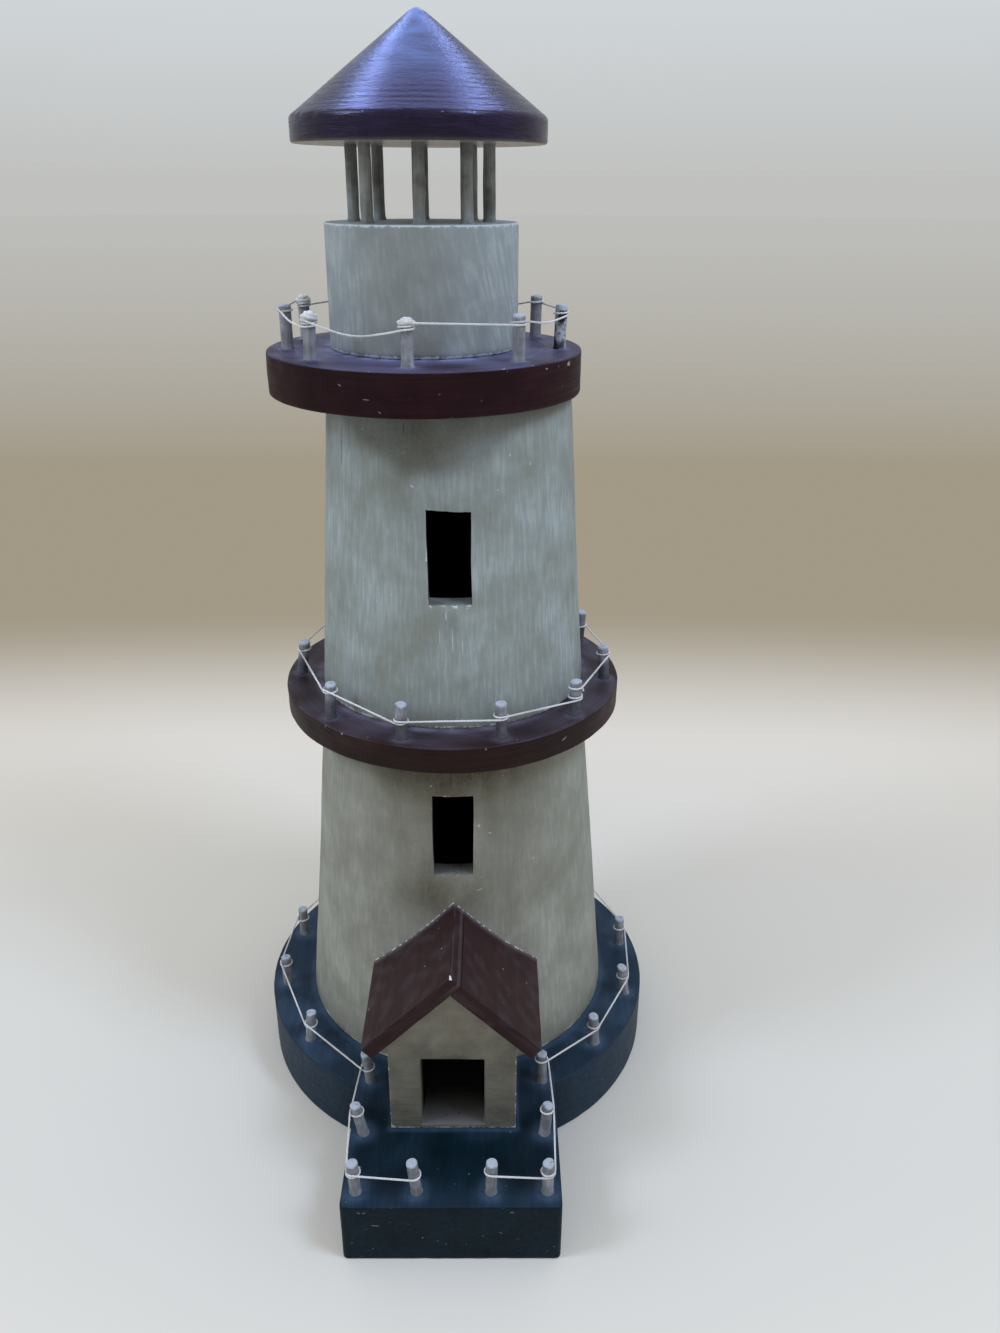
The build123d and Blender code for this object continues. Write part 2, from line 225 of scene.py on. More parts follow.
# %% Colours and nodes
def paint(hex_colour):
    """Linear RGBA of an sRGB hex value."""
    srgb = np.array([int(hex_colour[i : i + 2], 16) for i in (1, 3, 5)]) / 255
    linear = np.where(srgb <= 0.04045, srgb / 12.92, ((srgb + 0.055) / 1.055) ** 2.4)
    return (*linear.tolist(), 1.0)


def put(tree, kind, inputs=None, out=0, **settings):
    """Add a shader node and return one of its outputs. Settings are the node's properties, and inputs its
    sockets by name or number, each with a value or with the output to link from."""
    node = tree.nodes.new("ShaderNode" + kind)
    for key, value in settings.items():
        setattr(node, key, value)
    for key, value in (inputs or {}).items():
        if isinstance(value, bpy.types.NodeSocket):
            tree.links.new(value, node.inputs[key])
        else:
            node.inputs[key].default_value = value
    return node.outputs[out] if node.outputs else None


# %% [markdown]
# ## Floor and light
# The ornament stands on a pale sheet that turns warmer further away. Two soft panels at its sides and a dim
# sky light it evenly, at a level at which a colour renders about as it is written. Two strips and a wide
# sheet of light above it show only in what is glossy. They are there for the roof: a cone shows a long light
# as a bright fan from its tip to its rim.

# %% Floor
floor_size, floor_start, floor_drop, floor_rings, floor_columns = 9000.0, 20.0, 0.05, 40, 96
floor_turn = full_turn(floor_columns)
floor_reach = np.concatenate([[0], np.geomspace(floor_start, floor_size, floor_rings)])[:, None]
floor_points = grid_points(floor_reach * np.cos(floor_turn), floor_reach * np.sin(floor_turn), -floor_drop)
floor_mesh = bpy.data.meshes.new("floor")
floor_faces = grid_faces(*floor_points.shape[:2]).tolist()
floor_mesh.from_pydata(floor_points.reshape(-1, 3) * MM, [], floor_faces)
floor = bpy.data.objects.new("floor", floor_mesh)
bpy.context.scene.collection.objects.link(floor)


def seen_directly(tree):
    """1 for a camera ray, or one that a glossy or clear surface sends on, and 0 for a ray of light."""
    rays = put(tree, "LightPath").node.outputs
    direct = put(tree, "Math", {0: rays["Is Camera Ray"], 1: rays["Is Glossy Ray"]}, operation="MAXIMUM")
    return put(tree, "Math", {0: direct, 1: rays["Is Transmission Ray"]}, operation="MAXIMUM")


# Matt paper: no gloss, pale and cool near the object. What lies further off is an even, warmer backdrop.
paper = bpy.data.materials.new("matt_paper")
paper.use_nodes = True
tree = paper.node_tree
place = put(tree, "TexCoord", out="Object")
oval = put(tree, "Mapping", {"Vector": place, "Scale": (0.3, 1.0, 1.0)})
distance = put(tree, "VectorMath", {0: oval}, "Value", operation="LENGTH")
outer = put(tree, "MapRange", {"Value": distance, "From Min": 0.08, "From Max": 0.2})
near_colour = put(tree, "Mix", {0: outer, 6: paint("#cccdc9"), 7: paint("#d8d6d0")}, 2, data_type="RGBA")
nearness = put(tree, "Math", {0: 1.0, 1: distance}, operation="DIVIDE")
beyond = put(tree, "MapRange", {"Value": nearness, "From Min": 1.3, "From Max": 0.0})
far_colour = put(tree, "Mix", {0: beyond, 6: paint("#a29987"), 7: paint("#c0c1bf")}, 2, data_type="RGBA")
edge = {"Value": distance, "From Min": 0.17, "From Max": 0.37}
far = put(tree, "MapRange", edge, interpolation_type="SMOOTHSTEP")
surface = tree.nodes["Principled BSDF"]
tree.links.new(near_colour, surface.inputs["Base Color"])
surface.inputs["Roughness"].default_value = 1.0
surface.inputs["Specular IOR Level"].default_value = 0.0
share = put(tree, "Math", {0: seen_directly(tree), 1: far}, operation="MULTIPLY")
far_sheet = put(tree, "Emission", {"Color": far_colour, "Strength": 1.0})
sheet = put(tree, "MixShader", {0: share, 1: surface.outputs[0], 2: far_sheet})
tree.links.new(sheet, tree.nodes["Material Output"].inputs["Surface"])
floor_mesh.materials.append(paper)
print("floor:", len(floor_mesh.polygons), "faces")

# %% Sky and lamps
world = bpy.context.scene.world or bpy.data.worlds.new("sky")
bpy.context.scene.world = world
world.use_nodes = True
tree = world.node_tree
tree.nodes.clear()
height = put(tree, "SeparateXYZ", {0: put(tree, "TexCoord", out="Generated")}, "Z")
climb = put(tree, "MapRange", {"Value": height, "From Max": 0.8, "To Min": 0.58, "To Max": 0.88})
dome = put(tree, "Background", {"Color": paint("#fcf6ee"), "Strength": climb})
above = put(tree, "MapRange", {"Value": height, "From Max": 0.12})
wall = put(tree, "Mix", {0: above, 6: paint("#c0c1bf"), 7: paint("#cfd4d7")}, 2, data_type="RGBA")
backdrop = put(tree, "Background", {"Color": wall, "Strength": 1.0})
sky = put(tree, "MixShader", {0: seen_directly(tree), 1: dome, 2: backdrop})
put(tree, "OutputWorld", {"Surface": sky})

# Place, width and length in metres, power in watts and colour
panel_aim = Vector((0, 0.1, 0.13))
lamps = {
    "panel_left": ((-0.47, -0.20, 0.59), (0.17, 0.20), 1.9, "#dbe8ff"),
    "panel_right": ((0.37, -0.24, 0.70), (0.17, 0.20), 2.5, "#cfe1ff"),
    "strip_left": ((-0.17, 0.24, 0.64), (0.055, 0.36), 0.8, "#9fb6ff"),
    "strip_right": ((0.13, 0.24, 0.64), (0.045, 0.36), 0.6, "#9fb6ff"),
    "ceiling": ((-0.02, 0.16, 0.66), (0.40, 0.30), 0.85, "#9cb0ff"),
}
for name, (place, (width, length), watts, colour) in lamps.items():
    is_panel = name.startswith("panel")
    lamp = bpy.data.lights.new(name, "AREA")
    lamp.shape, lamp.size, lamp.size_y, lamp.energy = "RECTANGLE", width, length, watts
    lamp.color = paint(colour)[:3]
    holder = bpy.data.objects.new(name, lamp)
    holder.location = place
    holder.visible_diffuse = is_panel
    aim = panel_aim if is_panel else Vector((place[0], place[1], 0))
    holder.rotation_euler = (aim - Vector(place)).to_track_quat("-Z", "Y").to_euler()
    bpy.context.scene.collection.objects.link(holder)
bpy.context.scene.view_settings.view_transform = "Standard"
print("lamps:", len(bpy.data.lights))

# %% [markdown]
# ## Rail strings
# Each rail is one length of thin cotton string that takes a turn round every post. A bevelled curve would
# give a smooth wire, so the string is made as it is spun: the route is one NURBS spline, and three strands
# are carried along it, turning round each other. The windings are more points of the same spline.

# %% Post places
base_angles = [49.5, 75, 100.5, 126, 152, 177, 203, 229, 254, 280, 308.5]
lower_angles = [49.5, 83, 119.5, 158, 196, 235, 273, 314, 344.5, 378.5]
upper_angles = [165, 207, 249, 280, 312, 357, 403, 443, 483]
lantern_angles = [2, 43.5, 88.5, 133.5, 182, 223.5, 268.5, 313.5]
base_leans = np.array(
    [0.02, 0.01, 0.07, -0.02, -0.06, -0.12, -0.04, 0, 0, 0, 0, 0, 0, 0, 0.08, -0.1, -0.18, -0.04, -0.1]
)
lower_leans = np.array([0.03, -0.08, 0.04, 0, 0, 0, 0.16, 0.05, 0, -0.03])
upper_leans = np.array([0, 0, -0.02, 0, 0.03, 0, 0, 0.03, 0.02])


def on_ring(centre, radius, angles, height):
    """Points x = centre + radius sin(angle), y = -radius cos(angle), at one height."""
    turn = np.radians(angles)
    return grid_points(centre + radius * np.sin(turn), -radius * np.cos(turn), height)


def porch_feet(side):
    """Feet of the gate, corner, middle and junction posts on one side of the porch, -1 left and 1 right."""
    front = porch_inset + post_radius - porch_reach
    junction = junction_inset - math.sqrt(base_radius**2 - (porch_width / 2) ** 2)
    row_x = porch_shift + side * (porch_width / 2 - porch_inset)
    across = [gate_shift + side * gate_width / 2, row_x, row_x, row_x]
    return grid_points(across, [front, front, (front + junction) / 2, junction], base_height)


disc_feet = on_ring(0, base_radius - base_inset, base_angles, base_height)
base_feet = np.vstack([porch_feet(1), disc_feet, porch_feet(-1)[::-1]])
lower_feet = on_ring(0, lower_gallery_radius - lower_inset, lower_angles, upper_foot)
upper_feet = on_ring(lid_shift, upper_gallery_radius - upper_inset, upper_angles, drum_foot)
lantern_feet = on_ring(lid_shift, lantern_ring, lantern_angles, drum_top)
print("posts:", len(base_feet), len(lower_feet), len(upper_feet), len(lantern_feet))

# %% String route and strands
winding_radius = post_radius + 0.42 * string_diameter
turn_pitch = 1.15 * string_diameter
points_per_turn = 12
straight_reach = 6 * string_diameter
slack_share = 0.35
strand_count, strand_sides, strand_lay, string_step = 3, 6, 2.4, 0.25
strand_radius = 0.24 * string_diameter
strand_offset = 0.44 * string_diameter - strand_radius


def string_route(feet, leans, heights, turns, sags, first_side, last_side):
    """Control points of a rail string. Round each post they lie on a helix, a twelfth of a turn apart and a
    little outside the winding, because the spline cuts inside its control points. Each run leaves and meets
    the posts on their outer side, with a point 6 diameters from each post and, where the string is slack, one
    at its lowest."""
    heights = np.asarray(heights, float)
    marks = feet + np.stack([leans * heights, 0 * heights, heights], 1)
    run = np.diff(marks[:, :2], axis=0)
    sides = np.vstack([first_side, np.stack([run[:, 1], -run[:, 0]], 1), last_side])
    heading = np.arctan2(sides[:, 1], sides[:, 0])
    turning = (np.diff(heading) + np.pi) % (2 * np.pi) - np.pi + 2 * np.pi * np.asarray(turns)
    outside = winding_radius / math.cos(math.pi / points_per_turn)
    helices = []
    for mark, first, sweep in zip(marks, heading, turning):
        steps = math.ceil(sweep / (2 * np.pi) * points_per_turn)
        angle = first + sweep * np.linspace(0, 1, steps + 1)
        climb = turn_pitch * (angle - first - sweep / 2) / (2 * np.pi)
        helices.append(mark + np.stack([outside * np.cos(angle), outside * np.sin(angle), climb], 1))
    way_in = np.array([-math.sin(heading[0]), math.cos(heading[0]), 0])
    way_out = np.array([-math.sin(heading[-1]), math.cos(heading[-1]), 0])
    route = [helices[0][:1] - string_tail * way_in]
    for helix, following, sag in zip(helices, helices[1:], sags):
        start, end = helix[-1], following[0]
        reach = straight_reach / np.linalg.norm(end - start)
        low = np.array([0, 0, -2 * sag])
        stops = [(reach, slack_share), (0.5, 1.0), (1 - reach, slack_share)]
        stops = stops if sag else stops[::2]
        route += [helix, np.array([start + (end - start) * share + low * depth for share, depth in stops])]
    route += [helices[-1], helices[-1][-1:] + string_tail * way_out]
    return np.vstack(route)


def spline_line(route, step):
    """Points a fixed step apart on the NURBS spline of order 3 whose control points are the route, and how
    far along it they lie."""
    curve = bpy.data.curves.new("route", "CURVE")
    curve.dimensions, curve.resolution_u = "3D", 8
    spline = curve.splines.new("NURBS")
    spline.points.add(len(route) - 1)
    spline.points.foreach_set("co", np.column_stack([route, np.ones(len(route))]).ravel())
    spline.order_u = 3
    spline.use_endpoint_u = True
    holder = bpy.data.objects.new("route", curve)
    bpy.context.scene.collection.objects.link(holder)
    line = bpy.data.meshes.new_from_object(holder)
    points = np.empty(len(line.vertices) * 3)
    line.vertices.foreach_get("co", points)
    points = points.reshape(-1, 3)
    bpy.data.objects.remove(holder)
    bpy.data.curves.remove(curve)
    bpy.data.meshes.remove(line)
    travelled = travel(points)
    stations = np.linspace(0, travelled[-1], int(travelled[-1] / step) + 1)
    return np.stack([np.interp(stations, travelled, points[:, axis]) for axis in range(3)], 1), stations


def spin_string(name, route, material, body):
    """Strands along a route. Each strand's middle is line + offset (cos p, sin p), in the frame of the line's
    direction and the upright, with p = 2 pi travelled / lay, and a small ring of points goes round it."""
    line, travelled = spline_line(route, string_step)
    way = np.gradient(line, axis=0)
    way /= np.linalg.norm(way, axis=1)[:, None]
    rise = np.array([0, 0, 1]) - way * way[:, 2:]
    rise /= np.linalg.norm(rise, axis=1)[:, None]
    across = np.cross(way, rise)
    ring = full_turn(strand_sides)
    round_rise, round_across = np.cos(ring)[..., None], np.sin(ring)[..., None]
    length = np.concatenate([travelled[:1], travelled, travelled[-1:]])[:, None]
    rows = len(length)
    blocks, faces, strokes = [], [], []
    for strand in range(strand_count):
        phase = (2 * np.pi * (travelled / strand_lay + strand / strand_count))[:, None]
        middle = line + strand_offset * (np.cos(phase) * rise + np.sin(phase) * across)
        skin = middle[:, None] + strand_radius * (round_rise * rise[:, None] + round_across * across[:, None])
        first, last = (np.repeat(middle[end][None, None], strand_sides, 1) for end in (0, -1))
        blocks.append(np.concatenate([first, skin, last]))
        faces.append(grid_faces(rows, strand_sides) + strand * rows * strand_sides)
        strokes.append(grid_points(length, np.cos(ring), strand + np.sin(ring)))
    piece = make_piece(
        name, np.concatenate(blocks), material, body, "rail_string", np.concatenate(faces),
        stroke=np.concatenate(strokes),
    )
    print(name, round(travelled[-1], 1), "mm,", len(piece.data.polygons), "faces")
    return piece, line, travelled[-1]


# %% [markdown]
# The string is bleached cotton, spun from three strands and a little dusty. Short fibres scatter the light,
# so it is matt, and the strands' own shade draws the twist. Fibres about 0.05 mm wide are too fine to show,
# so the noise along a strand is drawn about 0.4 mm long.

# %% Spun cotton
fibre_length, dust_length = 0.4, 14
spun_cotton = bpy.data.materials.new("spun_cotton_string")
spun_cotton.use_nodes = True
tree = spun_cotton.node_tree
along = put(tree, "Attribute", out="Vector", attribute_name="stroke")
stretch = put(tree, "Mapping", {"Vector": along, "Scale": (1 / fibre_length, 1.5, 1.5)})
fibres = put(tree, "TexNoise", {"Vector": stretch, "Scale": 1.0, "Detail": 3.0})
spots = put(tree, "Mapping", {"Vector": along, "Scale": (1 / dust_length, 0.2, 0.2)})
dust = put(tree, "TexNoise", {"Vector": spots, "Scale": 1.0, "Detail": 2.0})
light = put(tree, "MapRange", {"Value": fibres, "From Min": 0.3, "From Max": 0.7})
dusty = put(tree, "MapRange", {"Value": dust, "From Min": 0.45, "From Max": 0.75})
cotton = put(tree, "Mix", {0: light, 6: paint("#adb2b7"), 7: paint("#dfe3e8")}, 2, data_type="RGBA")
cotton = put(tree, "Mix", {0: dusty, 6: cotton, 7: paint("#aaabab")}, 2, data_type="RGBA")
surface = tree.nodes["Principled BSDF"]
tree.links.new(cotton, surface.inputs["Base Color"])
surface.inputs["Roughness"].default_value = 0.9
surface.inputs["Specular IOR Level"].default_value = 0.2
surface.inputs["Sheen Weight"].default_value = 0.25
print("spun cotton:", len(tree.nodes), "nodes")

# %% Strings on the rails
def closed(values):
    """A row of posts with the first one again at its end, where a string comes back to it."""
    return np.concatenate([values, values[:1]])


# Body, posts and their leans, then the string's height and turns at each post, its sag between them, and the
# sides on which it starts and ends
rails = {
    "base_rail_string": (
        "tower", base_feet, base_leans,
        [7.2, 7, 8.4, 8, 6.5, 6.6, 6.4, 6.5, 6.8, 6.3, 6.6, 6.5, 6.3, 8, 6, 5.2, 7.8, 7.1, 6],
        [1] * 19, [0] * 18, (0, 1), (0, 1),
    ),
    "lower_rail_string": (
        "tower", closed(lower_feet), closed(lower_leans),
        [8, 7.7, 5.2, 6.4, 6.8, 6.2, 7.8, 8.1, 5.2, 6.2, 5.4],
        [1] * 11, [0] * 10, (1, 0), (0, 1),
    ),
    "upper_rail_string": (
        "lid", closed(upper_feet), closed(upper_leans),
        [9.2, 9.1, 9, 9.4, 8.3, 9.1, 8.8, 8.6, 9, 4.8],
        [1, 1, 2, 1, 2, 2, 1, 1, 1, 1], [0, 0, 0, 0.5, 1.4, 0, 0.6, 0, 0], (0, 1), (-1, 0),
    ),
}
for name, (body, *rail) in rails.items():
    piece, line, length = spin_string(name, string_route(*rail), spun_cotton, body)

# %% [markdown]
# ## Brushed paint
# All the wood is painted by hand, with one recipe in different colours: a cloudy coat, strokes where the
# bristles left it thin or thick, grime where it gathers, pale spots where it is chipped, and specks. The
# grime's colour also paints shade and sheen, and the pale spots also paint highlights. An image texture
# would have to be painted for each piece. Noise on the piece's own `stroke` attribute follows the brush
# instead: its third number runs along the stroke, and the first two go round the piece without a seam. The
# marks for grime and painted light, for chips and highlights, and for the inside colour are point attributes
# worked out with each shape. The inside colour is painted light as well: the painted shade in a window, a
# doorway or a hollow and, on the roof, a painted sheen on the front of its tip. Dark scores use it too.

# %% Brushed paint
# In mm: the grain that makes edges ragged, the spacing of specks, and how far in a single mark reaches
grain_size, speck_spacing, mark_depth = 0.9, 3.6, 2.5


def brushed_paint(
    name, deep, pale, streak, dirt, bare, brush, stroke, cloud, streaks, thin, roughness, gloss, relief,
    inside="#060505", specks=0.0, flecks=(), scores=(),
):
    """Painted wood. Brush, stroke and cloud are sizes in mm: the width and length of a bristle mark and the
    size of a patch. Streaks and thin are the shares of light and dark strokes, and relief is the depth of the
    marks in mm. Flecks and scores are single pale and dark marks: the middle's x, y and z, half the width and
    height, and the slant in degrees."""
    material = bpy.data.materials.new(name)
    material.use_nodes = True
    tree = material.node_tree
    place = put(tree, "TexCoord", out="Object")
    flow = put(tree, "Attribute", out="Vector", attribute_name="stroke")
    wide = put(tree, "Mapping", {"Vector": flow, "Scale": (1 / brush, 1 / brush, 1 / stroke)})
    fine = put(tree, "Mapping", {"Vector": flow, "Scale": (2.7 / brush, 2.7 / brush, 2 / stroke)})
    strokes, bristles, patches, grain = (
        put(tree, "TexNoise", {"Vector": vector, "Scale": scale, "Detail": detail, "Roughness": rough})
        for vector, scale, detail, rough in (
            (wide, 1.0, 3.0, 0.55),
            (fine, 1.0, 2.0, 0.6),
            (place, 1 / (cloud * MM), 4.0, 0.6),
            (place, 1 / (grain_size * MM), 4.0, 0.65),
        )
    )

    # The coat: patches, and strokes that show more where the brush was full
    thick = put(tree, "MapRange", {"Value": patches, "From Min": 0.33, "From Max": 0.67})
    loads = {"Value": patches, "From Min": 0.36, "From Max": 0.64, "To Min": 0.55, "To Max": 1.25}
    loaded = put(tree, "MapRange", loads)
    scant = put(tree, "MapRange", {"Value": bristles, "From Min": 0.52, "From Max": 0.3, "To Max": thin})
    scant = put(tree, "Math", {0: scant, 1: loaded}, operation="MULTIPLY")
    patchy = put(tree, "Mix", {0: 0.25, 2: strokes, 3: patches})
    bright = put(tree, "MapRange", {"Value": patchy, "From Min": 0.46, "From Max": 0.71, "To Max": streaks})
    bright = put(tree, "Math", {0: bright, 1: loaded}, operation="MULTIPLY")
    layers = [(thick, pale), (scant, deep), (bright, streak)]

    # Grime and painted light, uneven along the strokes, and ragged pale spots: chips and painted highlights
    uneven = put(tree, "Mix", {0: 0.5, 2: grain, 3: strokes})
    spread = {"Value": uneven, "From Min": 0.3, "From Max": 0.65, "To Min": 0.7, "To Max": 1.1}
    uneven = put(tree, "MapRange", spread)
    soil_and_painted_light = put(tree, "Attribute", out="Fac", attribute_name="dirt")
    soil_and_painted_light = put(tree, "Math", {0: soil_and_painted_light, 1: uneven}, operation="MULTIPLY", use_clamp=True)
    worn = put(tree, "Attribute", out="Fac", attribute_name="bare")
    ragged = put(tree, "Math", {0: worn, 1: grain}, operation="ADD")
    worn = put(tree, "MapRange", {"Value": ragged, "From Min": 0.86, "From Max": 1.0})
    layers += [(soil_and_painted_light, dirt), (worn, bare)]

    # Specks, single marks, and the inside colour: painted shade in hollows and a painted sheen on the roof
    if specks:
        cells = {"Vector": place, "Scale": 1 / (speck_spacing * MM), "Randomness": 1.0}
        dots = put(tree, "TexVoronoi", cells, "Distance")
        dots = put(tree, "MapRange", {"Value": dots, "From Min": 0.075, "From Max": 0.045, "To Max": specks})
        dots = put(tree, "Math", {0: dots, 1: thick}, operation="MULTIPLY")
        layers.append((dots, bare))
    for spots, tone in ((flecks, bare), (scores, inside)):
        for x, y, z, width, height, slant in spots:
            shape = {
                "Vector": place,
                "Location": (x * MM, y * MM, z * MM),
                "Rotation": (0, math.radians(slant), 0),
                "Scale": (width * MM, mark_depth * MM, height * MM),
            }
            spot = put(tree, "Mapping", shape, vector_type="TEXTURE")
            spot = put(tree, "VectorMath", {0: spot}, "Value", operation="LENGTH")
            spot = put(tree, "Math", {0: grain, 1: spot}, operation="ADD")
            spot = put(tree, "MapRange", {"Value": spot, "From Min": 1.35, "From Max": 0.95, "To Max": 0.5})
            layers.append((spot, tone))
    layers.append((put(tree, "Attribute", out="Fac", attribute_name="inside"), inside))
    colour = paint(deep)
    for share, tone in layers:
        colour = put(tree, "Mix", {0: share, 6: colour, 7: paint(tone)}, 2, data_type="RGBA")

    # Gloss and relief: a loaded stroke is smoother, and all the marks stand out a little
    rubbed = put(tree, "MapRange", {"Value": strokes, "To Min": roughness + 0.12, "To Max": roughness - 0.12})
    marks = put(tree, "Math", {0: bristles, 1: strokes}, operation="ADD")
    marks = put(tree, "Mix", {0: 0.25, 2: marks, 3: grain})
    bump = put(tree, "Bump", {"Strength": 0.6, "Distance": relief * MM, "Height": marks})
    surface = tree.nodes["Principled BSDF"]
    for socket, source in (("Base Color", colour), ("Roughness", rubbed), ("Normal", bump)):
        tree.links.new(source, surface.inputs[socket])
    surface.inputs["Specular IOR Level"].default_value = gloss
    return material


# %% [markdown]
# ### Pale paints
# Thin milk paint over a grey primer is on the towers, the drum and the hut. It has hardly any gloss, and the
# brush leaves long fine streaks in it. Marks that stand out one by one in the picture are placed one by one.

# %% Pale paints
# Milk paint, brushed up and down: long fine streaks. Its dark olive grey is grime and the painted shadow
# under the gallery.
upper_wash = brushed_paint(
    "brushed_milk_paint_grey", "#7a817c", "#8b989b", "#a8b3b6", "#494841", "#c4c8c8",
    brush=0.8, stroke=8, cloud=15, streaks=0.5, thin=0.36, roughness=0.7, gloss=0.2, relief=0.15, specks=0.4,
    flecks=[
        (-7.8, -31.7, 188.1, 0.8, 0.4, 20), (1.4, -35, 149.3, 0.2, 4.0, 0), (-0.2, -35, 155.8, 0.22, 1.6, 0),
        (-1.8, -35, 150.5, 0.15, 3.0, 0), (3.9, -35, 147.8, 0.15, 3.0, 0), (15.5, -28.2, 194.8, 0.3, 0.4, 20),
        (12.7, -30.2, 186.8, 0.25, 0.4, 0), (20.5, -24.5, 192, 0.25, 0.6, 0),
    ],
    scores=[(-26, -19.1, 194.2, 0.24, 7.0, 2), (-9.5, -31, 201.5, 0.24, 2.0, 0)],
)
# The same paint, older and yellower, dabbed more than brushed. Its dark brown is grime and the painted shade
# under the gallery and round the hut.
lower_wash = brushed_paint(
    "dabbed_milk_paint_cream", "#7c7f77", "#8f938c", "#a5a9a2", "#494434", "#c0c3bc",
    brush=1.0, stroke=8, cloud=13, streaks=0.42, thin=0.36, roughness=0.72, gloss=0.2, relief=0.2,
    specks=0.35,
    flecks=[
        (7.8, -38.5, 97, 0.5, 0.6, 30), (10.8, -38.1, 94.4, 0.7, 0.35, 20),
        (7.9, -40.3, 77.6, 1.4, 0.25, -15), (22.7, -33.6, 83.3, 0.35, 0.35, 0),
        (-4.8, -37.9, 109, 0.35, 0.35, 0),
    ],
)
# A whiter top coat, drawn slantwise. Its dark tone is grime and painted shade down the front of the drum.
drum_wash = brushed_paint(
    "slant_brushed_milk_paint", "#7f898d", "#8b969a", "#aab5ba", "#66655c", "#a9b5bd",
    brush=1.3, stroke=8, cloud=7, streaks=0.5, thin=0.36, roughness=0.7, gloss=0.2, relief=0.15, specks=0.4,
)
# Cream paint on softwood, with few streaks. Its dark grey darkens the walls below the gable and at the foot.
hut_wash = brushed_paint(
    "brushed_milk_paint_buff", "#706f66", "#89887d", "#929187", "#3d4140", "#bcbdbd",
    brush=2.0, stroke=9, cloud=9, streaks=0.15, thin=0.12, roughness=0.75, gloss=0.15, relief=0.2,
)
# Blue-grey paint on dowels, thin enough to show the grain, whiter on the cut ends.
post_paint = brushed_paint(
    "thin_paint_on_birch_dowel", "#62666d", "#858b94", "#a3a9b5", "#1d1c2c", "#9fabba",
    brush=0.6, stroke=6, cloud=4, streaks=0.5, thin=0.4, roughness=0.62, gloss=0.3, relief=0.12,
)
lantern_paint = brushed_paint(
    "thin_grey_paint_on_dowel", "#5d605c", "#838887", "#9aa1a4", "#4b4a3c", "#b9bfc4",
    brush=0.6, stroke=8, cloud=5, streaks=0.5, thin=0.4, roughness=0.65, gloss=0.25, relief=0.12,
)
# Pine, sawn and never painted: wide warm grain.
bare_pine = brushed_paint(
    "sawn_pine_bare", "#8f7350", "#b89a70", "#cbb087", "#6d5438", "#d9c8a6",
    brush=0.8, stroke=20, cloud=12, streaks=0.5, thin=0.5, roughness=0.75, gloss=0.2, relief=0.2,
)
print("materials:", len(bpy.data.materials))

# %% [markdown]
# ### Dark paints
# Satin oil paint is on the boards and the hut's roof, and dust greys its tops; on the galleries that dust
# also paints the sheen of their tops. The lighthouse's own roof is varnished, so it shines more than all the
# rest, and its tip carries a painted highlight and sheen.

# %% Dark paints
# Scratches on the porch's front: x and z of the middle, half the width and height, and the slant in degrees.
base_scratches = [
    (-22.3, 16.9, 0.8, 0.25, 35), (-21.0, 16.9, 0.8, 0.25, -30), (-18.3, 12.4, 1.5, 0.28, 3),
    (16.6, 17.0, 0.8, 0.25, 0), (13.8, 9.5, 0.8, 0.22, 35), (-6.3, 8.0, 0.25, 0.5, 20),
    (-2.4, 6.9, 0.25, 0.3, 0), (-0.3, 5.6, 0.3, 0.25, 0),
]
# Oil paint, satin, brushed round the board. Its lavender grey is dust on the top that also paints the top's
# sheen; its pale grey draws chips and a painted highlight along the top edge.
maroon_paint = brushed_paint(
    "satin_oil_paint_maroon", "#18060b", "#240d14", "#2f1821", "#7377a0", "#a9a8b0",
    brush=16, stroke=0.9, cloud=18, streaks=0.4, thin=0.4, roughness=0.5, gloss=0.12, relief=0.06, specks=0.2,
    flecks=[
        (29.6, -17.8, 214.6, 0.55, 0.8, 0), (24, -26.1, 214.6, 0.4, 0.25, 0),
        (-23.2, -35.9, 212.4, 0.6, 0.16, 30), (-17.1, -38.2, 209.6, 1.1, 0.13, 2),
        (-14, -39, 206.9, 0.5, 0.14, 40),
    ],
)
# The same, browner and more speckled.
maroon_brown_paint = brushed_paint(
    "satin_oil_paint_brown_maroon", "#180b0a", "#261412", "#301e1f", "#68667a", "#a9a8b0",
    brush=16, stroke=0.9, cloud=18, streaks=0.4, thin=0.4, roughness=0.5, gloss=0.16, relief=0.06, specks=0.6,
    flecks=[(-27.3, -38.6, 124.9, 0.4, 0.4, 0), (30.1, -36.5, 122.3, 1.1, 0.25, -25)],
)
# The same, duller, brushed along the hut's roof boards.
hut_roof_paint = brushed_paint(
    "satin_oil_paint_dull_maroon", "#251315", "#2d1a1d", "#352227", "#7a767c", "#d8d7d8",
    brush=2.4, stroke=14, cloud=13, streaks=0.2, thin=0.12, roughness=0.56, gloss=0.16, relief=0.05,
    specks=0.7,
)
# Navy on the base board, with a grey-blue dust.
navy_paint = brushed_paint(
    "satin_oil_paint_navy", "#04131b", "#071c26", "#0d2835", "#4f6886", "#7f868c",
    brush=1.3, stroke=16, cloud=18, streaks=0.4, thin=0.4, roughness=0.5, gloss=0.1, relief=0.06, specks=0.6,
    flecks=[(x, 0.2 - porch_reach, *rest) for x, *rest in base_scratches],
)
# Aubergine varnish over dark stain, with fine rings from the lathe: it mirrors the lamps with a violet cast.
# Pale blue: painted highlight at the tip and the worn crease. Inside colour: painted sheen on the front.
roof_varnish = brushed_paint(
    "turned_varnish_aubergine", "#120814", "#1b0f22", "#2c1e42", "#8f8a80", "#9ab0de",
    brush=8.0, stroke=1.0, cloud=14, streaks=0.6, thin=0.5, roughness=0.3, gloss=0.38, relief=0.2,
    inside="#586ea0",
)
roof_varnish.node_tree.nodes["Principled BSDF"].inputs["Specular Tint"].default_value = paint("#cfd0ff")
print("materials:", len(bpy.data.materials))

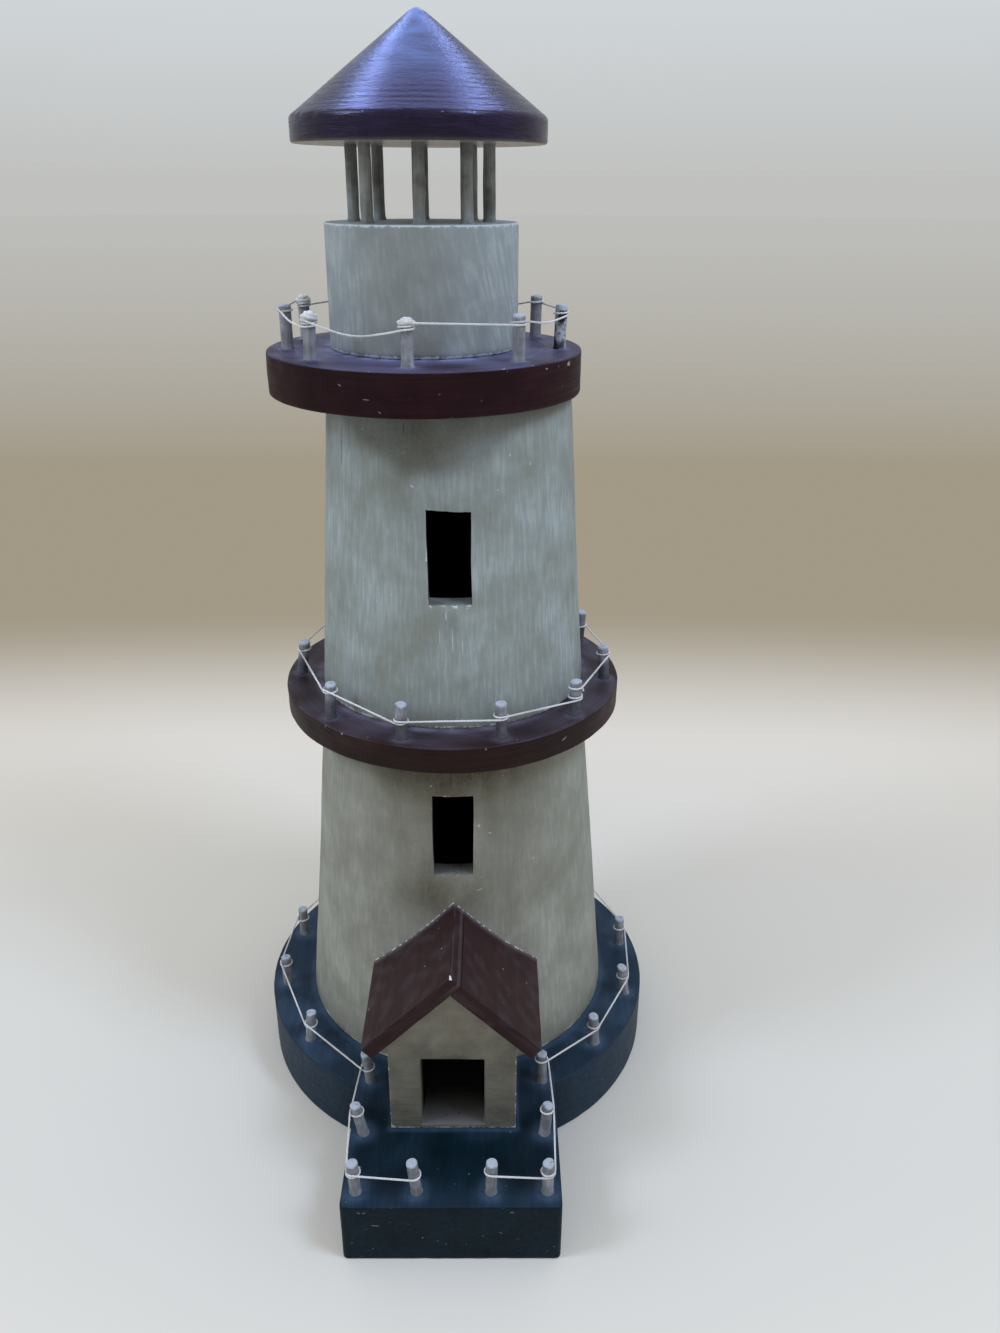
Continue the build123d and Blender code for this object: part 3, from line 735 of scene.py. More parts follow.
# %% [markdown]
# ## Turned pieces
# The galleries, the drum, the roof, the plug and the dowels are all round. Each is a profile of radius and
# height carried round an axis. The Screw modifier does that too, but here every point also gets a small push
# in or out, so that the piece is as uneven as a hand-sawn one, and its own stroke, dirt and bare marks.

# %% Turned pieces
def block_profile(radius, foot, top, ease, gap):
    """Half outline (r, z) of a round block: out along the foot, up the side and in over the top."""
    return eased([(0, foot), (radius, foot), (radius, top), (0, top)], ease, gap)


def rim_gap(profile, radius, level):
    """Distance of each point of a profile from the edge at a radius and a level."""
    return np.hypot(profile[:, :1] - radius, profile[:, 1:] - level)


def post_gap(points, feet):
    """Distance in plan from each point to the side of the nearest post."""
    return np.linalg.norm(points[:, :, None, :2] - feet[None, None, :, :2], axis=-1).min(-1) - post_radius


def angle_from(angle, degrees):
    """Angle from a given direction, between -pi and pi."""
    return (angle - math.radians(degrees) + np.pi) % (2 * np.pi) - np.pi


def turned(profile, angle, centre, push=0.0, twist=0.0):
    """Points x = centre + r sin a, y = -r cos a for each (r, z) of a profile and each angle a, with push
    added to r off the axis, and their strokes: a constant radius at the angle a + twist (z - the lowest z),
    and the way along the profile."""
    radius, z = profile[:, :1], profile[:, 1:]
    reach = radius.max()
    swing = angle + twist * (z - z.min())
    radius = np.where(radius > 0.01, radius + push, 0)
    points = grid_points(centre + radius * np.sin(angle), -radius * np.cos(angle), z)
    return points, grid_points(reach * np.sin(swing), -reach * np.cos(swing), travel(profile)[:, None])


# %% Galleries
gallery_columns = 288


def saw_gallery(name, body, material, centre, foot, radius, height, feet, seed, chips, tower_radius, settled_dust_and_sheen):
    """Round board: eased rims, an outline out of round by a few tenths of a millimetre, dust on the top that
    also paints its sheen, more of it round the posts, a pale line along the top edge that is worn paint and a
    painted highlight, and chips, each an angle, a share of the height and a size."""
    top = foot + height
    profile = block_profile(radius, foot, top, gallery_round, gap=1.1)
    angle, z = full_turn(gallery_columns), profile[:, 1:]
    rim = ramp(profile[:, :1], radius - 3, radius)
    push = rim * (0.16 * waves(angle, z, seed, 6, 40) + 0.05 * waves(angle, z, seed + 1, 40, 6))
    chipped = np.zeros(push.shape)
    for degrees, share, size in chips:
        chip_gap = np.hypot(radius * angle_from(angle, degrees), z - foot - share * height)
        chipped = np.maximum(chipped, near(chip_gap, size) * rim)
    points, strokes = turned(profile, angle, centre, push - 0.35 * chipped)
    # A pale line along the top edge: worn paint and a painted highlight
    edge_wear_and_highlight = 0.22 + 0.14 * waves(angle, z, seed + 2, 60, 9)
    on_top = z > top - 0.3
    gap = post_gap(points, feet)
    tower_gap = np.hypot(points[..., 0] - centre, points[..., 1]) - tower_radius
    cloudy = np.clip(waves(points[..., 0] / 9, points[..., 1] / 9, seed + 3, 3, 1.5), -1, 1)
    smears = np.clip(0.35 + 0.5 * waves(angle, 0, seed + 4, 30, 9), 0, 0.9)
    # Dust on the top that also paints its sheen, thicker near the tower, round the posts and in smears
    dust = settled_dust_and_sheen * (0.5 + 0.75 * near(tower_gap, 7)) + 0.14 * cloudy
    dust = dust + 0.4 * near(gap, 1.3) + smears * near(tower_gap - 0.6, 1.3)
    points[..., 2] += on_top * 0.12 * near(gap, 0.9)
    make_piece(
        name, points, material, body, "maroon_paint", stroke=strokes, dirt=on_top * dust,
        bare=near(rim_gap(profile, radius, top), 0.5) * edge_wear_and_highlight + 0.8 * chipped,
    )
    print(name, points.shape[0], "by", points.shape[1], "points")


saw_gallery(
    "lower_gallery", "tower", maroon_brown_paint, 0, lower_gallery_foot, lower_gallery_radius,
    lower_gallery_height, lower_feet, seed=11, chips=[(150, 0.7, 0.5)], tower_radius=upper_foot_radius,
    settled_dust_and_sheen=0.18,
)
saw_gallery(
    "upper_gallery", "lid", maroon_paint, lid_shift, lid_foot, upper_gallery_radius, upper_gallery_height,
    upper_feet, seed=23, chips=[(62, 0.85, 0.5), (200, 0.6, 0.5)], tower_radius=drum_radius, settled_dust_and_sheen=0.42,
)

# %% Drum and plug
drum_columns, plug_columns = 264, 128
profile = block_profile(drum_radius, drum_foot, drum_top, drum_bevel, gap=0.9)
angle, z = full_turn(drum_columns), profile[:, 1:]
side = ramp(profile[:, :1], drum_radius - 2, drum_radius)
top_edge, foot_edge = rim_gap(profile, drum_radius, drum_top), rim_gap(profile, drum_radius, drum_foot)
nicks = np.clip(waves(angle, 0 * z, 33, 50, 9) - 0.6, 0, 1)
push = side * (0.14 * waves(angle, z, 31, 5, 60) + 0.03 * waves(angle + 0.03 * z, z, 32, 90, 8))
push = push - 0.3 * nicks * near(top_edge, 0.9) - 0.35 * near(foot_edge, 0.5)
points, strokes = turned(profile, angle, lid_shift, push, twist=0.007 + 0.010 * np.sin(angle))
bare = near(top_edge, 0.6) * (0.66 + 0.16 * waves(angle, z, 34, 70, 9))
bare = bare + near(foot_edge - 0.5, 0.5) * (0.66 + 0.16 * waves(angle, z, 35, 60, 9))
splashed = near(foot_edge, 5) * np.clip(0.3 + waves(angle, z, 36, 12, 12), 0, 1)
# Painted shade down the front of the drum; splashed grime near the foot and a dark line at the joint
dirt = 0.44 * near(angle_from(angle, -8), 0.5) + 0.35 * splashed + 0.85 * near(foot_edge, 0.45)
make_piece("lantern_drum", points, drum_wash, "lid", "drum_wash", stroke=strokes, dirt=dirt, bare=bare)

profile = block_profile(plug_radius, lid_foot - plug_length, lid_foot, base_bevel, gap=1.2)
angle = full_turn(plug_columns)
points = turned(profile, angle, lid_shift, 0.05 * waves(angle, profile[:, 1:], 41, 24, 9))[0]
make_piece("locating_plug", points, bare_pine, "lid", "bare_wood", stroke=points[..., [0, 2, 1]])
print("drum from", round(drum_foot, 1), "to", round(drum_top, 1), "mm")

# %% [markdown]
# ## Roof
# The roof was turned on a lathe from one block: a straight rim, a crisp crease and a cone to a blunt tip.
# Fine rings from the tool run round it, and the edge at the crease has lost some of its colour. A painted
# highlight lightens the very tip, and a painted sheen in the inside colour spreads over the front of the upper
# cone, between the lamps' highlights.

# %% Roof
roof_columns, tip_rows, ring_pitch = 240, 7, 1.1
crease = roof_foot + roof_rim
slope = math.atan2(roof_cone, roof_radius)
ball = crease + roof_cone - roof_tip / math.cos(slope)
lean_of_tip = np.linspace(slope, 0, tip_rows)
tip = np.stack([roof_tip * np.sin(lean_of_tip), ball + roof_tip * np.cos(lean_of_tip)], 1)
rim_corners = [(0, roof_foot), (roof_radius, roof_foot), (roof_radius, crease), tip[0]]
profile = np.vstack([eased(rim_corners, roof_edge, gap=0.4), tip[1:]])
profile[-1, 0] = 0
angle, z = full_turn(roof_columns), profile[:, 1:]
crease_edge, low_edge = rim_gap(profile, roof_radius, crease), rim_gap(profile, roof_radius, roof_foot)

on_cone = ramp(z, crease, crease + 2) * ramp(profile[:, :1], 1, 5)
rings = np.sin(2 * np.pi * z / ring_pitch + waves(angle, z, 52, 3, 12))
rings = rings * (0.4 + 0.6 * waves(angle, z, 53, 5, 5))
nicks = np.clip(waves(angle, z, 54, 60, 9) - 0.7, 0, 1)
push = on_cone * (0.035 * rings + 0.06 * waves(angle, z, 51, 4, 14)) - 0.05
push = push - 0.25 * nicks * near(crease_edge, 0.8)
points, strokes = turned(profile, angle, lid_shift, push)

below_tip = profile[-1, 1] - z
# Worn crease, and a painted highlight at the very tip
bare = near(crease_edge, 0.4) * (0.2 + 0.14 * waves(angle, z, 55, 60, 9)) + 0.44 * near(below_tip, 2.2)
dirt = 0.3 * near(low_edge, 0.5) + 0.9 * (z < roof_foot + 0.1)
# Painted sheen over the front of the upper cone, between the lamps' highlights
rubbed = 0.4 * ramp(-below_tip, -17, -11) + 0.6 * ramp(-below_tip, -8, -1)
rubbed = rubbed * near(angle_from(angle, -10), 0.9) * (0.95 + 0.3 * waves(angle, z, 56, 6, 2.5))
make_piece(
    "roof_cap", points, roof_varnish, "lid", "roof_varnish",
    stroke=strokes, dirt=dirt, bare=bare, inside=np.clip(rubbed, 0, 1),
)
print("roof top at", round(points[..., 2].max(), 2), "mm")

# %% [markdown]
# ## Towers
# Each section is a tube that tapers, with a window cut through its front wall. Boolean modifiers would cut
# the window but leave long thin faces round it. Here the columns of the grid are spread so that two of them
# stand on the window's sides and two rows on its sill and head, and the faces in between are left out.

# %% Tower sections
wall_columns, pane_columns, pane_rows, row_gap = 300, 14, 15, 1.7
reveal_depths = (0.07, 0.35)


def ring_faces(inner, outer):
    """Quads between two closed rings of corner numbers."""
    return np.stack([inner, np.roll(inner, -1), np.roll(outer, -1), outer], 1)


def tower_section(name, foot, height, foot_radius, top_radius, sill, material, seed, stains_and_shade, askew, shade):
    """Closed shell of an outer wall r(z) = foot radius + (top - foot) (z - foot) / height, an inner wall 6 mm
    inside it, two end rings and the four reveals of the window, whose sides are at x = constant, so at the
    angle asin(x / r). Askew is how far the window's left side and head lean; shade is how dark the painted
    shade on its sill is, from front to back."""
    low, high, top = foot + sill, foot + sill + window_height, foot + height
    ease = np.array([0, 0.35, 0.9])
    rows = np.concatenate([
        foot + ease,
        np.linspace(foot + 2, low, int(sill / row_gap)),
        np.linspace(low, high, pane_rows)[1:],
        np.linspace(high, top - 2, int((height - sill - window_height) / row_gap))[1:],
        top - ease[::-1],
    ])
    z = rows[:, None]
    low_row, high_row = np.searchsorted(rows, [low - 1e-6, high - 1e-6])
    left = window_shift - window_width / 2 + 0.12 * waves(0 * z, z, seed, 0, 20)
    left = left - 0.3 * askew * ((z - low) / window_height - 0.5)
    right_side = window_shift + window_width / 2 + 0.12 * waves(0 * z, z, seed + 1, 0, 20)

    def column_angles(radius):
        """Even steps from the window's right side round to its left, then across it, at each height."""
        start, end = np.arcsin(right_side / radius), 2 * np.pi + np.arcsin(left / radius)
        round_wall = start + (end - start) * np.linspace(0, 1, wall_columns + 1)
        pane = left + (right_side - left) * np.linspace(0, 1, pane_columns + 1)[1:-1]
        return np.concatenate([round_wall, 2 * np.pi + np.arcsin(pane / radius)], 1)

    straight = foot_radius + (top_radius - foot_radius) * (z - foot) / height
    angle = column_angles(straight)
    x = straight * np.sin(angle)
    in_front = np.cos(angle) > 0
    beside = np.maximum(np.maximum(left - x, x - right_side), np.maximum(low - z, z - high))
    edge = in_front * near(beside, 0.55)
    nicks = np.clip(waves(40 * angle, z, seed + 5, 3, 3) - 0.5, 0, 1)
    push = 0.10 * waves(angle, z, seed + 2, 7, 60) + 0.028 * waves(angle, z, seed + 3, 190, 60, 60)
    push = push + 0.02 * waves(angle, z, seed + 4, 60, 9) - 0.3 * edge * (1 + nicks)
    push = push - 0.3 * near(np.minimum(z - foot, top - z), 0.3)
    inner = straight - tower_wall
    skins = []
    for radius, turn in ((straight + np.minimum(push, 0.2), angle), (inner, column_angles(inner))):
        skin = grid_points(radius * np.sin(turn), -radius * np.cos(turn), z)
        tilt = askew * skin[..., 0] / window_width * near(z - high, 4) * near(skin[..., 0], 9)
        skin[..., 2] -= tilt * (np.cos(turn) > 0)
        skins.append(skin.reshape(-1, 3))

    columns = wall_columns + pane_columns
    number = np.arange(len(rows) * columns).reshape(len(rows), columns)
    total = number.size
    keep = np.ones((len(rows) - 1, columns), bool)
    keep[low_row:high_row, wall_columns:] = False
    quads = grid_faces(len(rows), columns)[keep.ravel()]
    ends = [ring_faces(ring, ring + total) for ring in (number[0], number[-1])]
    sill_row = np.append(number[low_row, wall_columns:], number[low_row, 0])
    head_row = np.append(number[high_row, wall_columns:], number[high_row, 0])
    jambs = number[low_row + 1 : high_row]
    loop = np.concatenate([sill_row, jambs[:, 0], head_row[::-1], jambs[::-1, wall_columns]])
    between = [skins[0][loop] * (1 - depth) + skins[1][loop] * depth for depth in reveal_depths]
    count = len(loop)
    steps = [loop, 2 * total + np.arange(count), 2 * total + count + np.arange(count), loop + total]
    reveal = [ring_faces(a, b) for a, b in zip(steps, steps[1:])]

    middle = (foot_radius + top_radius) / 2
    strokes = grid_points(middle * np.sin(angle), -middle * np.cos(angle), z).reshape(-1, 3)
    bare = 0.36 * edge * (0.7 + 0.5 * waves(angle * 9, z, seed + 6, 9, 6))
    bare = bare + 0.22 * in_front * near(low - z - 0.7, 0.7) * (x > left) * (x < right_side)
    bare = bare + near(z - foot - 0.4, 0.8) * (0.42 + 0.16 * waves(angle, z, seed + 7, 40, 9))
    on_sill = (skins[0][loop, 2] < low + 0.5).astype(float)
    sill_inner, blank = np.zeros(total), np.zeros(total)
    sill_inner[sill_row] = 1
    reveal_shade = [np.where(on_sill, shade[0], 0.25), np.where(on_sill, shade[1], 1)]
    # Painted shade: the inner wall near black, jambs and head darker inwards, the sill darker front to back
    piece = make_piece(
        name, np.concatenate(skins + between), material, "tower", "stone_wash",
        np.concatenate([quads, quads[:, ::-1] + total, *ends, *reveal]),
        stroke=np.concatenate([strokes, strokes, strokes[loop], strokes[loop]]),
        dirt=np.concatenate([stains_and_shade(angle, x, z, in_front).ravel(), blank, 0 * on_sill, 0.1 * on_sill]),
        bare=np.concatenate([bare.ravel(), blank, 0.34 * on_sill, 0.26 * on_sill]),
        inside=np.concatenate([blank, 1 - (1 - shade[2]) * sill_inner, *reveal_shade]),
    )
    print(name, len(piece.data.polygons), "faces")


# %% [markdown]
# Both sections carry painted shade and grime: the galleries' shadows painted under them with some brown
# stain, painted shade on the front, drips below the windows, painted shade and stain round the hut, and grime
# at the foot. Each is a sum of soft spots, bands and drips.

# %% Tower staining and painted shade
def upper_stains_and_shade(angle, x, z, in_front):
    """The gallery's shadow painted as a V, deepest left of the middle, with some brown stain, painted shade
    above the window, drips below the sill and a grimy foot.
    """
    low = upper_foot + upper_sill
    edge_x = [-32, -24, -16, -8.5, -3.3, 1.8, 6.9, 12, 17, 22, 32]
    edge_depth = [4, 8, 13, 18, 17, 15.5, 14, 12, 8, 5.5, 3]
    depth = np.where(in_front, np.interp(x, edge_x, edge_depth), 5) + 0.6 * waves(angle, 0, 64, 9, 9)
    above_window = ramp(z, low + window_height - 8, low + window_height)
    # Painted shadow under the gallery, a V on the front, with some brown stain; painted shade above the window
    shadow_and_stain = 0.5 * ramp(z, lid_foot - depth, lid_foot - depth + 4)
    shadow_and_stain = shadow_and_stain + in_front * near(x + 5, 14) * (0.08 + 0.22 * above_window)
    drips = 0.3 * in_front * near(x - 2, 6) * ramp(low - z, 0, 3) * near(low - z, 14)
    drips = drips * (0.5 + 0.5 * waves(14 * angle, z, 62, 4, 60))
    foot_dirt = 0.4 * near(z - upper_foot, 5) * (0.6 + 0.4 * waves(angle, z, 63, 20, 12))
    return np.clip(shadow_and_stain * (0.9 + 0.1 * waves(angle, z, 61, 24, 18)) + drips + foot_dirt, 0, 0.95)


def lower_stains_and_shade(angle, x, z, in_front):
    """Painted shade with some brown stain under the gallery, round the hut's ridge and above the hut, and
    grime at the foot.
    """
    below_top = lower_gallery_foot - z
    # Painted shade under the gallery, round the hut's ridge and above the hut, with some brown stain in it
    shadow_and_stain = 0.55 * near(below_top, 8) + 0.4 * in_front * near(x - 4, 16) * near(below_top - 4, 10)
    shadow_and_stain = shadow_and_stain + 0.45 * in_front * near(np.hypot(x + 1.5, z - base_height - ridge_height - 2), 9)
    above_hut = in_front * ramp(z, base_height + 40, base_height + 55)
    shadow_and_stain = shadow_and_stain + above_hut * (0.54 * near(x + 7, 13) + 0.4 * near(x - 17, 13))
    shadow_and_stain = shadow_and_stain * (0.85 + 0.15 * waves(angle, z, 71, 40, 30))
    return np.clip(shadow_and_stain + 0.26 * near(z - base_height, 4), 0, 0.95)


tower_section(
    "lower_tower", base_height, lower_height, lower_foot_radius, lower_top_radius, lower_sill, lower_wash,
    seed=70, stains_and_shade=lower_stains_and_shade, askew=0.2, shade=(0.4, 0.64, 0.86),
)
tower_section(
    "upper_tower", upper_foot, upper_height, upper_foot_radius, upper_top_radius, upper_sill, upper_wash,
    seed=60, stains_and_shade=upper_stains_and_shade, askew=0.8, shade=(0.3, 0.4, 0.05),
)

# %% [markdown]
# ## Dowel posts
# Short lengths of birch dowel, glued into blind holes, some of them leaning. Each is a turned piece, sheared
# to its lean, with a ring of paint where it meets the board and a cut top whose edge is knocked round.

# %% Dowel posts
post_columns, post_ease, stroke_shift = 26, 0.42, 40.0


def stand_posts(name, feet, leans, height, material, body, seed, cut=1, peeled=(), darker_below=0.0):
    """One dowel for each foot. Cut is 1 for a post whose sawn top shows and 0 for one that ends in a hole;
    peeled numbers posts that have lost paint, and the last argument is how much darker their lower part is."""
    profile = block_profile(post_radius, -post_seat, height, post_ease, gap=0.8)
    angle, z = full_turn(post_columns), profile[:, 1:]
    side = np.clip(profile[:, :1] - post_radius + 1, 0, 1)
    glue_ring = 0.22 * near(z - 0.1, 0.45) * (z > -0.8)
    for number, (foot, lean) in enumerate(zip(feet, leans), 1):
        push = 0.04 * waves(angle, z, seed + number, 4, 9) + 0.03 * waves(angle, z, seed + 50 + number, 9, 30)
        points, strokes = turned(profile, angle, 0, side * (push - 0.03) + side * glue_ring)
        top = cut * np.clip((z - height + 1.1 + 0.3 * waves(angle, z, seed + 90 + number, 3, 30)) / 0.7, 0, 1)
        sawn = 0.12 * (waves(angle, z, seed + 70 + number, 1, 30) - 1) * profile[:, :1] / post_radius
        points[..., 2] += cut * (z > height - 0.5) * sawn
        points[..., 0] += lean * points[..., 2]
        is_peeled = number in peeled
        blotch = is_peeled * np.clip(waves(angle, z, seed + 33, 3, 5) + 0.1, 0, 1) * (z < height - 1.5)
        drops = 0.45 * cut * near(z - 0.3, 0.6) * np.clip(waves(angle, z, seed + 20 + number, 5, 9), 0, 1)
        flaked = 0.45 * is_peeled * (1 - np.clip(2 * blotch, 0, 1)) * (z > 0.5)
        make_piece(
            f"{name}_{number}", points + foot, material, body, "post_paint",
            stroke=strokes + np.array([0, 0, stroke_shift * number]),
            dirt=2 * blotch + darker_below * np.clip((0.62 * height - z) / 1.5, 0, 1),
            bare=0.55 * top + drops + flaked,
        )
    print(name, len(feet))


upright = np.zeros(len(lantern_feet))
lantern_post = lantern_room + post_seat
stand_posts("base_rail_post", base_feet, base_leans, base_post, post_paint, "tower", seed=100)
stand_posts(
    "lower_rail_post", lower_feet, lower_leans, lower_post, post_paint, "tower", seed=300, darker_below=0.75
)
stand_posts("upper_rail_post", upper_feet, upper_leans, upper_post, post_paint, "lid", seed=500, peeled=(8,))
stand_posts("lantern_post", lantern_feet, upright, lantern_post, lantern_paint, "lid", seed=700, cut=0)

# %% [markdown]
# ## Base board
# One thick board, sawn as a disc with a porch in front, painted navy. Its outline, seen from the axis, is a
# single closed line, so the board is that line carried from the underside round the edge and in over the top.

# %% Base outline
outline_gap, disc_columns = 1.1, 280
porch_left, porch_right = porch_shift - porch_width / 2, porch_shift + porch_width / 2
porch_corners = [
    (porch_left, -math.sqrt(base_radius**2 - porch_left**2)),
    (porch_left, -porch_reach),
    (porch_right, -porch_reach),
    (porch_right, -math.sqrt(base_radius**2 - porch_right**2)),
]
right_join = math.asin(porch_right / base_radius)
left_join = 2 * math.pi + math.asin(porch_left / base_radius)
disc_angle = np.linspace(right_join, left_join, disc_columns)[1:-1]
disc = base_radius * np.stack([np.sin(disc_angle), -np.cos(disc_angle)], 1)
outline = np.vstack([eased(porch_corners, porch_corner, outline_gap), disc])
outline_way = travel(outline)
turn = 2 * np.pi * outline_way[None, :] / (outline_way[-1] + outline_gap)
reach = np.linalg.norm(outline, axis=1)
print("base outline:", len(outline), "points,", round(outline_way[-1], 1), "mm")

# %% Base board
top_rings, rim_width, chip_height = 36, 3.0, 0.6
edge_rows = eased([(12, 0), (0, 0), (0, base_height), (30, base_height)], base_bevel, gap=1.15)
edge_rows = edge_rows[edge_rows[:, 0] < rim_width]
over_top = np.linspace(0.03, 0.52, top_rings)
inward = np.concatenate([[1, 0.5], np.zeros(len(edge_rows)), over_top, [0.8, 1]])[:, None]
inset = np.concatenate([[0, 0], edge_rows[:, 0], np.full(top_rings, rim_width), [0, 0]])[:, None]
z = np.concatenate([[0, 0], edge_rows[:, 1], np.full(top_rings + 2, base_height)])[:, None]
side = (inset < 2) * (inward == 0)
on_top = z > base_height - 0.05

worn_in = 0.05 + 0.10 * (1 + waves(turn, z, 81, 12, 30)) / 2 + 0.05 * (1 + waves(turn, z, 82, 90, 7)) / 2
on_front = side * (outline[:, 1] <= 1 - porch_reach)
chipped = np.zeros(worn_in.shape)
for chip_x, chip_z, width, *_ in base_scratches:
    chip_gap = np.hypot((outline[:, 0] - chip_x) / width, (z - chip_z) / chip_height)
    chipped = np.maximum(chipped, near(chip_gap, 1.0) * on_front)
radial = (reach - inset) * (1 - inward) - np.clip(worn_in, 0, 0.3) * side - 0.2 * chipped
points = grid_points(outline[:, 0] / reach * radial, outline[:, 1] / reach * radial, z)

x, y = points[..., 0], points[..., 1]
tower_gap = np.hypot(x, y) - lower_foot_radius
hut_gap = np.maximum(np.abs(x - hut_shift) - hut_width / 2, -y - hut_front)
on_disc = ramp(y, -58, -48)
smudge = np.clip(waves(x / 8, y / 8, 83, 3, 1.8), 0, 1) * np.clip((y + 80) / 18, 0.3, 1)
rim_dust = 0.09 * (1 - on_disc) * np.clip(1.4 - (reach - radial) / 7, 0, 1)
dust = rim_dust + 0.4 * near(post_gap(points, base_feet), 2.0) + 0.16 * smudge
dust = dust + 0.25 * near(tower_gap - 0.4, 1.0) + 0.3 * near(hut_gap - 0.3, 0.7)
top_edge = np.hypot(inset, z - base_height) + 9 * (inward > 0)
points[..., 2] -= on_top * 0.05 * (1 + waves(x / 7, y / 7, 85, 3, 2)) / 2
piece = make_piece(
    "base_board", points, navy_paint, "tower", "navy_paint",
    stroke=points[..., [0, 2, 1]], dirt=0.16 * on_disc + on_top * dust,
    bare=near(top_edge, 0.5) * (0.12 + 0.18 * waves(turn, z, 84, 90, 9)),
)
print("base board", len(piece.data.polygons), "faces")

# %% [markdown]
# ## Hut
# A small gabled block with a pocket for a doorway, coped at the back to the tower's round wall. Seen from the
# middle of the door, its walls and its door are both single closed outlines, so rays from there give one grid
# that runs from the back of the pocket, over the front, along the sides and in over the coped back.

# %% Hut outlines
half = hut_width / 2
ridge = base_height + ridge_height
eave = ridge - half_span * math.tan(roof_pitch)
under_ridge = ridge - board / math.cos(roof_pitch)
wall_head = under_ridge - half * math.tan(roof_pitch)
lap = (board / 2 / math.sin(roof_pitch), ridge - board / 2 / math.cos(roof_pitch))
eave_cut = (half_span - board * math.sin(roof_pitch), eave - board * math.cos(roof_pitch))
door_low, door_high, door_half = base_height + threshold, base_height + door_top, door_width / 2
walls = [(-half, base_height), (half, base_height), (half, wall_head), (0, under_ridge), (-half, wall_head)]
door_side = [(door_half, door_low), (door_half, door_high), (-door_half, door_high), (-door_half, door_low)]
door = eased([(0, door_low), *door_side, (0, door_low)], door_corner / 2, door_width + door_top)[:-1]


def ray_reach(corners, middle, angle):
    """Distance from the middle to a closed outline along each angle: the crossing of the ray with each side,
    and the nearest of them."""
    start = np.asarray(corners, float) - middle
    side = np.roll(start, -1, 0) - start
    way_x, way_z = np.cos(angle)[:, None], np.sin(angle)[:, None]
    slant = way_x * side[:, 1] - way_z * side[:, 0]
    slant = np.where(np.abs(slant) < 1e-9, 1e-9, slant)
    far = (start[:, 0] * side[:, 1] - start[:, 1] * side[:, 0]) / slant
    share = (start[:, 0] * way_z - start[:, 1] * way_x) / slant
    return np.where((share > -1e-6) & (share < 1 + 1e-6) & (far > 0), far, np.inf).min(1)


def tower_face(x, z):
    """Depth y of the tower's outer wall, with the glue line, at a place on the front: minus the root of r
    squared less x squared."""
    taper = (lower_top_radius - lower_foot_radius) / lower_height
    radius = lower_foot_radius + taper * (z - base_height) + cope_gap
    return -np.sqrt(np.maximum(radius**2 - x**2, 0))


print("hut eaves at", round(eave, 1), "and ridge at", round(ridge, 1), "mm")

# %% Hut walls
wall_ease, near_edge, ray_count = 0.35, 0.25, 220
door_steps, front_steps, side_steps = 9, 14, 18
pocket_rows, front_rows = door_steps + 2, front_steps + 2
door_middle = np.array([0, (door_low + door_high) / 2])
corner_angle = [np.arctan2(*(np.array(corners) - door_middle).T[::-1]) for corners in (walls, door)]
ray = np.concatenate([*corner_angle, np.linspace(-np.pi, np.pi, ray_count, endpoint=False)])
ray = np.unique(np.round(ray, 5))
wall_reach, door_reach = ray_reach(walls, door_middle, ray), ray_reach(door, door_middle, ray)
frame_reach, front_span = door_reach + wall_ease, wall_reach - door_reach - 2 * wall_ease
front_share = np.linspace(0, 1, front_steps + 2)[1:-1]
hut_reach = np.array(
    [0 * ray, 0.96 * door_reach] + [door_reach] * door_steps
    + [frame_reach] + [frame_reach + front_span * share for share in front_share]
    + [wall_reach - wall_ease, wall_reach - near_edge * wall_ease] + [wall_reach] * side_steps
    + [0.5 * wall_reach, 0 * wall_reach]
)
x, z = hut_shift + hut_reach * np.cos(ray), door_middle[1] + hut_reach * np.sin(ray)
row = np.arange(len(hut_reach))[:, None]
is_front = (row >= pocket_rows) & (row < pocket_rows + front_rows)
pocket = hut_front - door_depth
depth = np.concatenate([
    np.full(2, -pocket),
    np.linspace(-pocket, wall_ease - hut_front, door_steps),
    np.full(front_rows, -hut_front),
    [near_edge * wall_ease - hut_front],
])[:, None]
along = np.concatenate([np.linspace(0, 1, side_steps), [1, 1]])[:, None]
side_y = (wall_ease - hut_front) * (1 - along) + tower_face(x, z)[len(depth) :] * along
y = np.concatenate([np.repeat(depth, len(ray), 1), side_y]) + is_front * 0.08 * waves(x / 5, z / 3, 91, 3, 3)
points = np.stack([x, y, z], -1)

# Painted shade: the pocket goes near black inwards from the doorway, its pale floor darker towards the back
fading, outside = np.linspace(1, 0, door_steps), np.zeros(len(row) - pocket_rows)
deep_in = np.concatenate([np.ones(2), fading, outside])[:, None]
pocket_floor = (z < door_low + 0.05) & (row <= pocket_rows)
floor_shade = 0.8 + 0.18 * ramp(y, -hut_front, 12 - hut_front)
side_edge = near(half - np.abs(x - hut_shift), 0.6) * (y < 1.0 - hut_front)
bare = 0.36 * side_edge + 0.5 * near(z - base_height, 0.7) * (y < -pocket)
bare = bare + 0.25 * near(hut_reach - door_reach, 0.5) * is_front + 0.6 * pocket_floor
# Darker below the gable and towards the foot, and blotched on the front
dirt = 0.42 * ramp(-z, -wall_head - 4, 10 - wall_head) + 0.22 * near(z - base_height, 7)
dirt = dirt + 0.15 * np.clip(waves(x / 6, z / 3, 93, 3, 3), 0, 1) * is_front
make_piece(
    "hut_body", points, hut_wash, "tower", "hut_wash", stroke=points[..., [1, 2, 0]], dirt=dirt, bare=bare,
    inside=np.where(pocket_floor, floor_shade, np.clip(2.4 * deep_in, 0, 1)),
)
print("hut walls:", len(hut_reach), "rows of", len(ray), "points")

# %% [markdown]
# Two thin boards make the hut's roof, and the left one laps over the end of the right one, so its end grain
# shows as a strip beside the ridge. Each board is its end outline carried back to the tower.

# %% Hut roof boards
board_rows, board_start, board_ease = 46, -hut_front - overhang, 0.3


